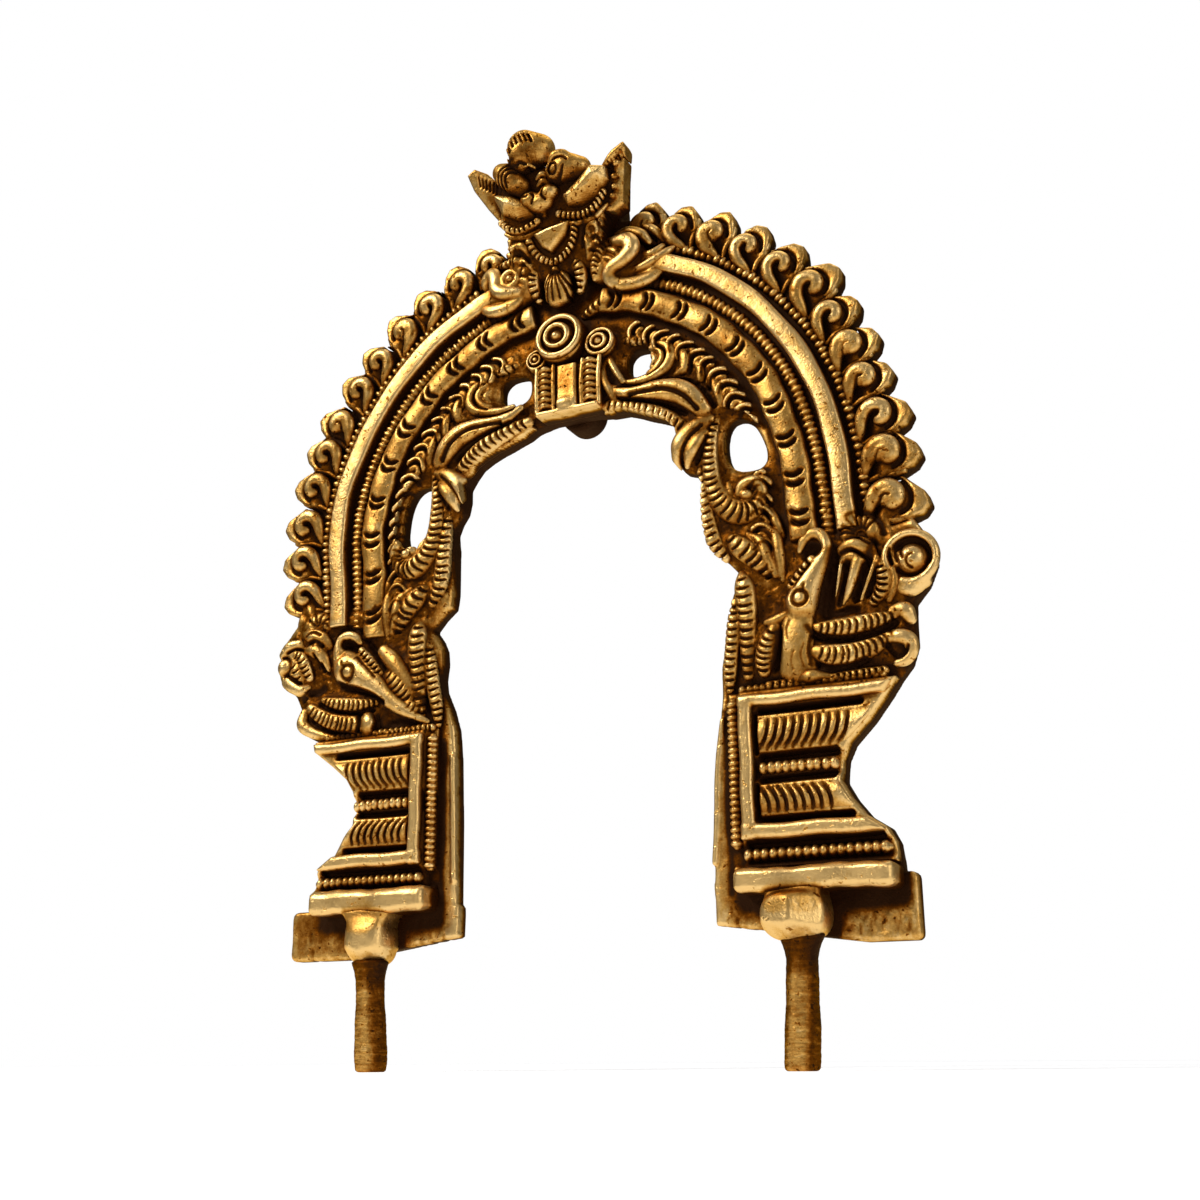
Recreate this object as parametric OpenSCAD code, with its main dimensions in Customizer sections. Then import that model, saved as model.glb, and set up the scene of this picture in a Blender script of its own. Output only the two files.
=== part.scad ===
// Brass prabhavali: a flame-edged arch that stands behind a small figure.
// A cut back plate carries a plain band between bead rows, a ringed rod and a vine cord,
// a row of flame curls, leaf scrolls round the opening, a lion mask over a rosette keystone,
// a sea-beast head at each upper end of the band and a bird on a pedestal at each foot.
// Two round pegs under the pedestals plug into a separate base.
// Lengths are in millimetres. X runs to the right, Y to the back and Z up.
// Z = 0 is the seat plane under the feet and Y = 0 is the plane of the two peg axes.

/* [Back plate] */
// Thickness of the back plate
plate_t = 2.5; // [2:0.1:3.5]
// Height of the arch centre above the seat
arch_z = 59; // [58:0.5:63]
// Radius of the arched opening
open_r = 19; // [17.5:0.5:19.5]
// Drop of the centre of the opening below the arch centre
open_drop = 4; // [3.5:0.5:6]
// Clear width between the two feet
foot_gap = 37.6; // [36:0.2:38.6]
// Clear width between the legs below the birds
leg_gap = 42; // [40:0.2:42.6]
// Width of one foot
foot_w = 26.5; // [25.5:0.5:29]
// Height of the foot below the base slab
foot_h = 5.5; // [4.5:0.1:6.5]
// Corner radius of the foot
foot_corner_r = 1.5; // [0.6:0.1:2.2]
// Radius of the round notch between bird and scroll
notch_r = 3; // [2.2:0.1:3.4]
// Drop of the notch below the arch centre
notch_drop = 12.5; // [12:0.1:13.5]
// Radius of the upper pierced hole
hole_r = 2.3; // [1.8:0.1:2.5]
// Radius of the ends of the lower pierced slot
slot_r = 2.2; // [1.8:0.1:2.4]
// Distance between the end centres of the lower slot
slot_len = 3.2; // [2:0.1:4]
// Rise of the lower slot above the arch centre
slot_rise = 5.4; // [5:0.1:6.5]
// Radius of the leaf lobes that reach into the opening
lobe_r = 2.6; // [2:0.1:3]

/* [Arch ribbons] */
// Mean radius of the plain band
band_r = 39.3; // [38.5:0.1:41]
// Width of the plain band
band_w = 2.6; // [2:0.1:3.2]
// Height of the plain band above the plate
band_h = 2.2; // [1.4:0.1:3]
// Groove left beside each ribbon
groove_w = 0.7; // [0.4:0.05:0.9]
// Bead size outside the band
outer_bead_d = 1.3; // [1:0.1:1.6]
// Bead size inside the band
inner_bead_d = 1.8; // [1.4:0.1:2.1]
// Thickness of the ringed rod
rod_d = 3.2; // [2.6:0.1:3.6]
// Number of ring pairs on one rod
ring_pairs = 9; // [6:1:11]
// Rise of a ring above the rod
ring_rise = 0.25; // [0.15:0.05:0.3]
// Deep groove between the rod and the vine cord
deep_groove = 1.8; // [1.2:0.1:2.1]
// Thickness of the vine cord
vine_d = 1.6; // [1.2:0.1:1.9]
// Number of oval buds on one vine cord
vine_buds = 9; // [6:1:11]

/* [Flames] */
// Flames on one side
flame_count = 12; // [9:1:12]
// Overall diameter of a flame curl
curl_d = 4.4; // [3.6:0.1:4.8]
// Thickness of the thread of a curl
curl_t = 1.5; // [1.1:0.1:1.7]
// Reach of a leaf tip beyond its curl
tip_reach = 2.3; // [1.4:0.1:3]

/* [Keystone] */
// Diameter of the large rosette
rosette_d = 7.8; // [7:0.1:8.4]
// Diameter of a small rosette
small_rosette_d = 3.8; // [3:0.1:4]
// Width of the keystone block
key_w = 9.8; // [8:0.1:10.4]
// Height of the keystone block above the plate
key_h = 4; // [3:0.1:5]
// Ribs on one column of the keystone
key_ribs = 5; // [3:1:6]
// Width of the lug behind the keystone
lug_w = 6; // [4:0.1:8]
// Depth of the lug behind the plate
lug_t = 4; // [3:0.1:6]

/* [Scrolls] */
// Thickness of the leaf threads
leaf_d = 1.6; // [1.2:0.1:1.8]
// Width of a ribbed strip
strip_w = 2; // [1.4:0.1:2.1]
// Thickness of one rib
rib_d = 1; // [0.8:0.1:1.2]

/* [Mask] */
// Width of the head of the mask
mask_w = 17; // [16:0.2:18]
// Width of the jaw of the mask
jaw_w = 8.4; // [7.8:0.1:8.8]
// Height of the jaw along the sloping face of the mask
jaw_rise = 6.2; // [5.8:0.1:7]
// Height of the brow above the eyes
brow_h = 0.8; // [0.4:0.1:2]
// Forward slope of the mask
mask_tilt = 24; // [16:1:30]
// Height of the chin above the plate
chin_h = 3; // [2.4:0.1:4]
// Diameter of an eye
eye_d = 4.4; // [3.6:0.1:4.6]
// Diameter of a cheek
cheek_d = 4.8; // [4:0.1:4.9]
// Diameter of the nose
nose_d = 3.6; // [2.8:0.1:4]
// Width of the tongue
tongue_w = 5; // [4:0.1:5.2]
// Bead size on the mask
mask_bead_d = 0.9; // [0.7:0.05:1]
// Reach of an ear beyond the head
ear_reach = 4.6; // [3:0.1:5.5]
// Height of the crest above the head
crest_rise = 4; // [2.5:0.1:5]
// Size of a sea-beast head
makara_d = 5.6; // [4.8:0.1:5.8]

/* [Birds] */
// Height of the bird field above the pedestal
bird_h = 18; // [17.6:0.1:19]
// Diameter of a bird's head
bird_head_d = 5; // [4:0.1:5.4]
// Length of a beak from the centre of the head
beak_len = 6.5; // [5:0.1:7]
// Diameter of the round tail
tail_d = 7.2; // [6:0.1:7.6]
// Distance of the tail's centre outside the pedestal
tail_out = 2.7; // [2:0.1:3.2]
// Radius of the plate lobe behind the wing feathers
wing_lobe_r = 4.5; // [4:0.1:5]
// Thickness of a wing feather
feather_d = 1.4; // [1:0.1:1.6]
// Length of a plume
plume_len = 7; // [5:0.1:7.6]

/* [Pedestals] */
// Width of a pedestal
ped_w = 21.4; // [20.5:0.1:22]
// Thickness of the pedestal block
ped_t = 1.4; // [1:0.1:2]
// Height of the base slab
slab_h = 3.5; // [2.8:0.1:4]
// Depth of the base slab in front of the plate
slab_d = 4.6; // [3.6:0.1:5.6]
// Width of the raised rail
rail_w = 1.8; // [1.4:0.1:2]
// Height of the rail above the pedestal block
rail_h = 1.6; // [1:0.1:2.2]
// Length of a flute
flute_h = 5.2; // [4.6:0.1:5.5]
// Width of a flute
flute_d = 1; // [0.8:0.05:1.1]
// Bead size on the pedestal
ped_bead_d = 1.1; // [0.9:0.05:1.2]
// Radius of the hollow waist
waist_r = 8.5; // [7.5:0.1:9.5]
// Depth of the hollow waist
waist_in = 5.8; // [4.5:0.1:6.2]

/* [Pegs] */
// Distance between the peg axes
peg_span = 60; // [57:0.5:63]
// Diameter of a peg
peg_d = 4.4; // [3.4:0.1:5]
// Length of a peg below the seat
peg_len = 15; // [10:0.5:20]
// Length of the peg's spigot inside its boss
peg_grip = 4; // [3:0.1:4.3]
// Distance of the peg axes in front of the plate
peg_setback = 2.6; // [2.2:0.1:3]
// Diameter of a peg boss
boss_d = 8.4; // [7.6:0.1:9.4]
// Width of the shoulder that stops a peg against its boss
peg_shoulder = 0.5; // [0.3:0.05:0.8]
// Chamfer at the free end of a peg
peg_chamfer = 0.4; // [0.2:0.05:0.7]

/* [Fits] */
// Gap round a peg in its bore
bore_gap = 0.05; // [0.02:0.01:0.1]
// Gap between neighbouring trims
trim_gap = 0.45; // [0.4:0.05:0.5]
// Gap between neighbouring beads
bead_gap = 0.12; // [0.08:0.02:0.3]

/* [Hidden] */
$fn = 48;

LEFT = -1;
RIGHT = 1;
brass = [0.79, 0.60, 0.27];
pale_brass = [0.88, 0.72, 0.40];
dark_brass = [0.55, 0.38, 0.16];
over = 1;

// Pedestal heights, from the seat upwards
ped_in = leg_gap / 2 + 2 * trim_gap;
ped_out = ped_in + ped_w;
slab_top = foot_h + slab_h;
low_bead_z = slab_top + trim_gap + ped_bead_d / 2;
low_bar_z = low_bead_z + ped_bead_d / 2 + trim_gap;
low_flute_z = low_bar_z + rail_w + trim_gap;
neck_z = low_flute_z + flute_h + 2 * trim_gap + ped_bead_d / 2;
high_flute_z = neck_z + ped_bead_d / 2 + 2 * trim_gap;
top_bar_z = high_flute_z + flute_h + trim_gap;
top_bead_z = top_bar_z + rail_w + trim_gap + ped_bead_d / 2;
ped_top = top_bead_z + ped_bead_d / 2 + trim_gap;
rail_x = ped_in + ped_bead_d + 2 * trim_gap;
flute_x = rail_x + rail_w + trim_gap + flute_d / 2;
waist_x = ped_out - waist_in + waist_r;
flute_pitch = flute_d + bead_gap * 2;
flute_reach = waist_x - sqrt(pow(waist_r + trim_gap, 2) - pow(neck_z - low_flute_z - flute_h, 2));
flute_n = floor((flute_reach - flute_d / 2 - flute_x) / flute_pitch);

// Spigot of a peg inside its boss
spigot_d = peg_d - 2 * peg_shoulder;

// Bird field
bird_z = ped_top + trim_gap;
bird_top = bird_z + bird_h;
ring_foot = bird_top + 2 * trim_gap;
tail_x = ped_out + tail_out;
tail_z = bird_z + bird_h * 0.7;
lobe_x = ped_out - 1;
lobe_z = bird_z + wing_lobe_r * 0.9;

// Ribbon radii, each set off from its neighbour by a groove
plate_y = peg_setback;
inner_bead_r = band_r - band_w / 2 - groove_w - inner_bead_d / 2;
outer_bead_r = band_r + band_w / 2 + groove_w + outer_bead_d / 2;
rod_r = inner_bead_r - inner_bead_d / 2 - groove_w - ring_rise - rod_d / 2;
vine_r = rod_r - rod_d / 2 - ring_rise - deep_groove - vine_d / 2;
vine_in = vine_r - vine_d / 2;
flame_r = outer_bead_r + outer_bead_d / 2 + trim_gap + curl_d / 2;
edge_r = flame_r + curl_d / 3;
tip_r = flame_r + curl_d / 2 + tip_reach;
ring_drop = arch_z - ring_foot;
band_end = 70;
outer_end = 66;
vine_end = 69;
flame_first = -6.5;
flame_last = 73.5;
flame_step = (flame_last - flame_first) / (flame_count - 1);

// Keystone and openings
open_z = arch_z - open_drop;
open_top = open_z + open_r;
rosette_r = rosette_d / 2;
rosette_z = arch_z + rod_r - rod_d / 2 - rosette_r + trim_gap;
rod_end = acos((rosette_r + 4 * trim_gap) / rod_r);
small_r = small_rosette_d / 2;
small_x = rosette_r * 0.88 + small_r + trim_gap / 2;
small_z = rosette_z - rosette_r * 0.7;
key_top = small_z - small_r - trim_gap;
hole_rim = leaf_d * 0.75;
hole_c = vine_in - trim_gap - hole_rim - hole_r;
hole_a = 65;
slot_up = slot_rise + slot_len / 2;
slot_x = sqrt(pow(vine_in - trim_gap - slot_r, 2) - pow(slot_up, 2));
slot_low = arch_z + slot_up - slot_len - slot_r;
notch_z = arch_z - notch_drop;
notch_x = leg_gap / 2 - notch_r / 3;
field_in = open_r + strip_w + 2 * trim_gap;
field_out = vine_in * 0.985 - trim_gap;
volute_d = field_out - field_in;
volute_x = (field_in + field_out) / 2;
volute_z = slot_low - trim_gap - volute_d / 2;
volute_t = volute_d * 0.2;

// Mask frame
mask_z = arch_z + band_r - 1.3;
mask_c = cos(mask_tilt);
mask_s = sin(mask_tilt);
eye_u = eye_d / 2 + 3 * trim_gap;
cheek_u = mask_w / 2 - cheek_d / 2 - mask_bead_d - trim_gap / 2;
cheek_v = jaw_rise + mask_bead_d + trim_gap + cheek_d / 2;
eye_step = (cheek_d + eye_d) / 2 + trim_gap / 2;
eye_v = cheek_v + sqrt(pow(eye_step, 2) - pow(cheek_u - eye_u, 2));
mask_len = eye_v + eye_d / 2 + brow_h;
tongue_v = mask_bead_d + 2 * trim_gap + tongue_w / 2;
tab_z = mask_z + mask_len * mask_c * 0.55;
makara_a = 77.5;
beard_n = 5;
beard_spread = 62;
beard_from = 4.4;
beard_len = 3.7;
beard_up = 3;

// Places children on the face of the plate: x stays X, y becomes Z, z stands forward
module on_plate() {
    translate([0, plate_y, 0])
        rotate([90, 0, 0])
            children();
}

// The same frame with its origin at the arch centre
module on_arch() {
    on_plate()
        translate([0, arch_z, 0])
            children();
}

// The sloping face of the mask: x across, y up the face, z out of it
module on_mask() {
    on_plate()
        translate([0, mask_z, chin_h])
            rotate([mask_tilt, 0, 0])
                children();
}

// Right-hand pieces are drawn once and mirrored for the left
module side(s) {
    mirror([s == LEFT ? 1 : 0, 0, 0])
        children();
}

// Half-round section of a wax thread, flat side down
module half_disc(r) {
    intersection() {
        circle(r);
        translate([-r, 0])
            square([2 * r, r]);
    }
}

// Half ball, flat side down
module dome(r) {
    rotate_extrude()
        intersection() {
            circle(r);
            square(r);
        }
}

// Half-round thread bent to an arc from angle a0 to angle a1
module d_arc(rad, d, a0, a1) {
    rotate([0, 0, a0])
        rotate_extrude(angle = a1 - a0)
            translate([rad, 0])
                half_disc(d / 2);
}

// Straight half-round thread along x
module d_bar(len, d) {
    rotate([90, 0, 90])
        linear_extrude(len)
            half_disc(d / 2);
}

// Half cone along x, flat side down
module half_cone(len, d0, d1) {
    intersection() {
        rotate([0, 90, 0])
            cylinder(h = len, d1 = d0, d2 = d1);
        translate([-over, -d0, 0])
            cube([len + 2 * over, 2 * d0, d0]);
    }
}

// Row of half balls along an arc
module bead_arc(rad, d, a0, a1) {
    step = 2 * asin((d + bead_gap) / (2 * rad));
    n = floor((a1 - a0) / step);
    for (i = [0 : n])
        rotate([0, 0, a0 + i * step])
            translate([rad, 0, 0])
                dome(d / 2);
}

// Row of half balls along x
module bead_row(len, d) {
    step = d + bead_gap;
    n = floor((len - d) / step);
    for (i = [0 : n])
        translate([d / 2 + i * step, 0, 0])
            dome(d / 2);
}

// Angle at which a ribbon of the given radius ends above the bird
function low_angle(rad) = -asin(ring_drop / rad);

// Outline of one leg of the plate, with its foot, hollow waist and bird lobes
module leg_outline() {
    difference() {
        union() {
            translate([foot_gap / 2, 0])
                square([foot_w - foot_corner_r, foot_h + foot_corner_r]);
            translate([foot_gap / 2 + foot_w - 2 * foot_corner_r, foot_corner_r])
                square([2 * foot_corner_r, foot_h - foot_corner_r]);
            for (z = [foot_corner_r, foot_h])
                translate([foot_gap / 2 + foot_w - foot_corner_r, z])
                    circle(foot_corner_r);
            translate([foot_gap / 2, foot_h / 2])
                square([ped_out - foot_gap / 2, ring_foot - foot_h / 2]);
        }
        translate([waist_x, neck_z])
            circle(waist_r);
    }
    translate([tail_x, tail_z])
        circle(tail_d / 2 + 2 * trim_gap);
    translate([lobe_x, lobe_z])
        circle(wing_lobe_r);
}

// Leaf tips that stand behind the flame curls
module leaf_tips() {
    for (i = [0 : flame_count - 1])
        rotate(flame_first + i * flame_step) {
            translate([flame_r + trim_gap, 0])
                circle(curl_d / 2 + trim_gap);
            polygon([[flame_r, -curl_d / 2], [tip_r, 0], [flame_r, curl_d / 2]]);
        }
}

// The space inside the arch and between the legs
module opening_outline() {
    translate([0, open_z])
        circle(open_r);
    translate([-open_r, notch_z - notch_r])
        square([2 * open_r, open_z - notch_z + notch_r]);
    polygon([[-foot_gap / 2, -over], [foot_gap / 2, -over], [leg_gap / 2, notch_z], [-leg_gap / 2, notch_z]]);
    for (s = [LEFT, RIGHT])
        translate([s * notch_x, notch_z])
            circle(notch_r);
}

// Pierced holes between the scrolls
module pierced_holes() {
    translate([hole_c * cos(hole_a), arch_z + hole_c * sin(hole_a)])
        circle(hole_r);
    for (k = [0, 1])
        translate([slot_x, arch_z + slot_up - k * slot_len])
            circle(slot_r);
    translate([slot_x - slot_r, arch_z + slot_up - slot_len])
        square([2 * slot_r, slot_len]);
}

module back_plate() {
    color(dark_brass)
        on_plate()
            translate([0, 0, -plate_t])
                linear_extrude(plate_t) {
                    difference() {
                        union() {
                            translate([0, arch_z])
                                circle(edge_r);
                            translate([0, tab_z])
                                circle(mask_w / 2 + trim_gap);
                            for (s = [LEFT, RIGHT])
                                side(s) {
                                    translate([0, arch_z])
                                        leaf_tips();
                                    leg_outline();
                                }
                        }
                        opening_outline();
                        for (s = [LEFT, RIGHT])
                            side(s)
                                pierced_holes();
                    }
                    for (s = [LEFT, RIGHT])
                        translate([s * (open_r - lobe_r * 0.7), open_z + open_r * 0.54])
                            circle(lobe_r);
                }
}

module rear_lug() {
    color(dark_brass)
        translate([0, plate_y + plate_t, open_top])
            rotate([-90, 0, 0])
                linear_extrude(lug_t)
                    union() {
                        circle(d = lug_w);
                        translate([-lug_w / 2, -lug_w])
                            square([lug_w, lug_w]);
                    }
}

module band(s) {
    color(pale_brass)
        side(s)
            on_arch()
                rotate([0, 0, low_angle(band_r)])
                    rotate_extrude(angle = band_end - low_angle(band_r))
                        translate([band_r - band_w / 2, 0])
                            square([band_w, band_h]);
}

module outer_beads(s) {
    color(brass)
        side(s)
            on_arch()
                bead_arc(outer_bead_r, outer_bead_d, low_angle(outer_bead_r) + over, outer_end);
}

module inner_beads(s) {
    color(brass)
        side(s)
            on_arch()
                bead_arc(inner_bead_r, inner_bead_d, low_angle(inner_bead_r) + over, band_end);
}

module ringed_rod(s) {
    low = low_angle(rod_r);
    step = (rod_end - low) / (ring_pairs + 1);
    ring_a = 1.2;
    color(pale_brass)
        side(s)
            on_arch()
                union() {
                    d_arc(rod_r, rod_d, low, rod_end);
                    for (i = [1 : ring_pairs])
                        for (k = [-1, 1])
                            rotate([0, 0, low + i * step + k * ring_a])
                                d_arc(rod_r, rod_d + 2 * ring_rise, -ring_a / 2, ring_a / 2);
                }
}

module vine_cord(s) {
    low = low_angle(vine_r);
    step = (vine_end - low) / (vine_buds + 1);
    bud_a = 2.6;
    color(brass)
        side(s)
            on_arch()
                union() {
                    d_arc(vine_r, vine_d * 0.7, low, vine_end);
                    for (i = [1 : vine_buds])
                        rotate([0, 0, low + i * step])
                            d_arc(vine_r, vine_d, -bud_a / 2, bud_a / 2);
                }
}

// One flame curl: a hooked thread with a swollen tip
module flame_curl() {
    tip_a = 40;
    root_a = 290;
    rad = (curl_d - curl_t) / 2;
    union() {
        d_arc(rad, curl_t, tip_a, root_a);
        rotate([0, 0, tip_a])
            translate([rad, 0, 0])
                dome(curl_t * 0.58);
    }
}

module flames(s) {
    color(pale_brass)
        side(s)
            on_arch()
                for (i = [0 : flame_count - 1])
                    rotate([0, 0, flame_first + i * flame_step])
                        translate([flame_r, 0, 0])
                            flame_curl();
}

module keystone_block() {
    z0 = open_top + trim_gap;
    color(brass)
        on_plate()
            translate([-key_w / 2, z0, 0])
                cube([key_w, key_top - z0, key_h]);
}

module keystone_columns() {
    z0 = open_top + 2 * trim_gap;
    step = (key_top - z0 - trim_gap) / key_ribs;
    col_w = key_w * 0.28;
    color(pale_brass)
        for (s = [LEFT, RIGHT])
            side(s)
                on_plate()
                    for (i = [0 : key_ribs - 1])
                        translate([key_w / 2 - col_w - trim_gap, z0 + (i + 0.5) * step, key_h])
                            d_bar(col_w, step - bead_gap);
}

// Rosette of concentric steps with a button in the middle
module rosette(r, h) {
    ring_n = 3;
    ring_h = h * 0.16;
    union() {
        for (k = [0 : ring_n - 1])
            cylinder(r = r * (1 - k / (ring_n + 0.5)), h = h + k * ring_h);
        translate([0, 0, h + (ring_n - 1) * ring_h])
            dome(r * 0.3);
    }
}

module rosette_centre() {
    color(pale_brass)
        on_plate()
            translate([0, rosette_z, 0])
                rosette(rosette_r, key_h * 0.8);
}

module rosettes_side() {
    color(pale_brass)
        for (s = [LEFT, RIGHT])
            side(s)
                on_plate()
                    translate([small_x, small_z, 0])
                        rosette(small_r, key_h * 0.6);
}

module scroll_leaf(s) {
    rim_r = open_r + trim_gap + leaf_d / 2;
    vein_r = rim_r + leaf_d + trim_gap;
    color(pale_brass)
        side(s)
            on_plate() {
                translate([0, open_z, 0]) {
                    d_arc(rim_r, leaf_d, 42, 76);
                    d_arc(vein_r, leaf_d, 38, 70);
                }
                translate([hole_c * cos(hole_a), arch_z + hole_c * sin(hole_a), 0])
                    d_arc(hole_r + hole_rim * 0.6, hole_rim * 0.8, -150, 70);
            }
}

module volute(s) {
    rad = (volute_d - volute_t) / 2;
    color(pale_brass)
        side(s)
            on_plate()
                translate([volute_x, volute_z, 0])
                    union() {
                        d_arc(rad, volute_t, 0, 245);
                        translate([rad / 2, 0, 0])
                            d_arc(rad / 2, volute_t, -180, 0);
                        dome(volute_t * 0.65);
                    }
}

// Ribbed strips along the inner edge, above and below the notch
module rib_strips(s) {
    pitch = rib_d + bead_gap;
    low_z = ped_top + trim_gap;
    low_n = floor((notch_z - notch_r - low_z) / pitch);
    high_z = notch_z + notch_r + trim_gap;
    high_n = floor((slot_low - high_z) / pitch);
    color(brass)
        side(s)
            on_plate() {
                for (i = [0 : low_n - 1])
                    translate([leg_gap / 2 + trim_gap, low_z + (i + 0.5) * pitch, 0])
                        d_bar(strip_w, rib_d);
                for (i = [0 : high_n - 1])
                    translate([open_r + trim_gap, high_z + (i + 0.5) * pitch, 0])
                        d_bar(strip_w, rib_d);
            }
}

// Wedge of the mask core between two distances along its face
module mask_wedge(v0, v1, w) {
    y0 = mask_z + v0 * mask_c;
    y1 = mask_z + v1 * mask_c;
    on_plate()
        translate([-w / 2, 0, 0])
            rotate([90, 0, 90])
                linear_extrude(w)
                    polygon([[y0, 0], [y1, 0], [y1, chin_h + v1 * mask_s], [y0, chin_h + v0 * mask_s]]);
}

module mask_core() {
    color(dark_brass)
        union() {
            mask_wedge(0, jaw_rise, jaw_w);
            mask_wedge(jaw_rise, mask_len, mask_w);
        }
}

module mask_crest() {
    crest_w = eye_u * 1.6;
    crest_t = 2.4;
    color(brass)
        on_plate()
            translate([0, mask_z + mask_len * mask_c, chin_h + mask_len * mask_s - crest_t])
                linear_extrude(crest_t)
                    union() {
                        translate([-crest_w / 2, 0])
                            square([crest_w, crest_rise - crest_w / 3]);
                        translate([0, crest_rise - crest_w / 3])
                            intersection() {
                                circle(crest_w / 2);
                                translate([-crest_w, 0])
                                    square(2 * crest_w);
                            }
                    }
}

module mask_eyes() {
    color(pale_brass)
        for (s = [LEFT, RIGHT])
            side(s)
                on_mask()
                    translate([eye_u, eye_v, 0])
                        union() {
                            cylinder(d = eye_d, h = eye_d * 0.22);
                            dome(eye_d * 0.42);
                        }
}

module mask_ears() {
    v0 = jaw_rise + trim_gap;
    v1 = mask_len;
    ear_t = 1.6;
    color(brass)
        for (s = [LEFT, RIGHT])
            side(s)
                on_mask()
                    translate([mask_w / 2, 0, -2 * ear_t])
                        linear_extrude(ear_t)
                            polygon([[0, v0], [ear_reach * 0.5, v0 + ear_reach], [ear_reach, v1], [0, v1 * 0.8]]);
}

module mask_cheeks() {
    color(pale_brass)
        for (s = [LEFT, RIGHT])
            side(s)
                on_mask()
                    translate([cheek_u, cheek_v, 0])
                        dome(cheek_d / 2);
}

module mask_nose() {
    color(pale_brass)
        on_mask()
            translate([0, cheek_v, 0])
                dome(nose_d / 2);
}

module mask_tongue() {
    tongue_t = 1.6;
    color(pale_brass)
        on_mask()
            translate([0, tongue_v, 0])
                linear_extrude(tongue_t)
                    union() {
                        circle(d = tongue_w);
                        translate([-tongue_w / 2, 0])
                            square([tongue_w, jaw_rise - tongue_v]);
                    }
}

// Bead rows under the cheeks and round the tongue
module mask_beads() {
    row_r = cheek_d / 2 + mask_bead_d / 2 + trim_gap / 2;
    color(brass)
        on_mask() {
            for (s = [LEFT, RIGHT])
                side(s)
                    translate([cheek_u, cheek_v, 0])
                        bead_arc(row_r, mask_bead_d, 215, 325);
            translate([0, tongue_v, 0])
                bead_arc(tongue_w / 2 + trim_gap + mask_bead_d / 2, mask_bead_d, 185, 355);
        }
}

module mask_beard() {
    lock_d = 1.1;
    color(brass)
        on_plate()
            translate([0, mask_z + beard_up, 0])
                for (i = [0 : beard_n - 1])
                    rotate([0, 0, -90 + beard_spread * (i / (beard_n - 1) - 0.5)])
                        translate([beard_from, 0, 0])
                            d_bar(beard_len, lock_d);
}

module makara(s) {
    jaw_len = makara_d * 0.8;
    color(pale_brass)
        side(s)
            on_arch()
                rotate([0, 0, makara_a])
                    translate([band_r, 0, 0])
                        union() {
                            cylinder(d = makara_d, h = band_h);
                            cylinder(d = makara_d * 0.55, h = band_h + ring_rise);
                            translate([0, 0, band_h + ring_rise])
                                dome(makara_d * 0.18);
                            for (a = [-1, 1])
                                rotate([0, 0, -90 + a * 38])
                                    half_cone(jaw_len, makara_d * 0.36, makara_d * 0.2);
                        }
}

module bird_head(s) {
    head_x = ped_in + ped_w * 0.42;
    head_z = bird_z + bird_h * 0.52;
    loop_r = bird_head_d * 0.33;
    loop_d = bird_head_d * 0.22;
    beak_a = 236;
    color(pale_brass)
        side(s)
            on_plate() {
                translate([head_x, head_z, 0])
                    union() {
                        dome(bird_head_d / 2);
                        rotate([0, 0, beak_a])
                            half_cone(beak_len, bird_head_d * 0.62, bird_head_d * 0.2);
                    }
                translate([head_x + trim_gap, bird_top - loop_r - loop_d / 2, 0])
                    d_arc(loop_r, loop_d, -60, 240);
            }
}

module bird_plumes(s) {
    plume_d = 1.6;
    plume_x = ped_in + ped_w * 0.64;
    plume_z = bird_z + bird_h * 0.43;
    plume_a = 94;
    color(brass)
        side(s)
            on_plate()
                for (i = [0 : 2])
                    translate([plume_x + i * (plume_d + trim_gap), plume_z, 0])
                        rotate([0, 0, plume_a])
                            d_bar(plume_len, plume_d);
}

module bird_tail(s) {
    color(pale_brass)
        side(s)
            on_plate()
                translate([tail_x, tail_z, 0])
                    rosette(tail_d / 2, 1.6);
}

// Two curved wing feathers and a drop beside them
module bird_feathers(s) {
    bend_r = 6;
    half_a = 34;
    color(brass)
        side(s)
            on_plate() {
                for (k = [0, 1])
                    translate([ped_in + ped_w * 0.76, bird_z + bend_r + feather_d * (0.5 + 1.65 * k), 0])
                        d_arc(bend_r, feather_d, 270 - half_a, 270 + half_a);
                translate([lobe_x + 2, lobe_z - 1, 0])
                    dome(feather_d * 0.9);
            }
}

module ped_block(s) {
    color(brass)
        side(s)
            on_plate()
                linear_extrude(ped_t)
                    difference() {
                        translate([ped_in, slab_top])
                            square([ped_w, ped_top - slab_top]);
                        translate([waist_x, neck_z])
                            circle(waist_r);
                    }
}

// Raised rail: an upright on the inner side with a top bar and a lower bar
module ped_rail(s) {
    bar_len = ped_out - rail_x - trim_gap;
    color(pale_brass)
        side(s)
            on_plate()
                translate([0, 0, ped_t])
                    linear_extrude(rail_h)
                        difference() {
                            union() {
                                translate([rail_x, low_bar_z])
                                    square([rail_w, top_bar_z + rail_w - low_bar_z]);
                                for (z = [low_bar_z, top_bar_z])
                                    translate([rail_x, z])
                                        square([bar_len, rail_w]);
                            }
                            translate([waist_x, neck_z])
                                circle(waist_r + trim_gap);
                        }
}

module ped_flutes(s) {
    color(brass)
        side(s)
            on_plate()
                for (z = [low_flute_z, high_flute_z])
                    for (i = [0 : flute_n])
                        translate([flute_x + i * flute_pitch, z, ped_t])
                            rotate([0, 0, 90])
                                d_bar(flute_h, flute_d);
}

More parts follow.
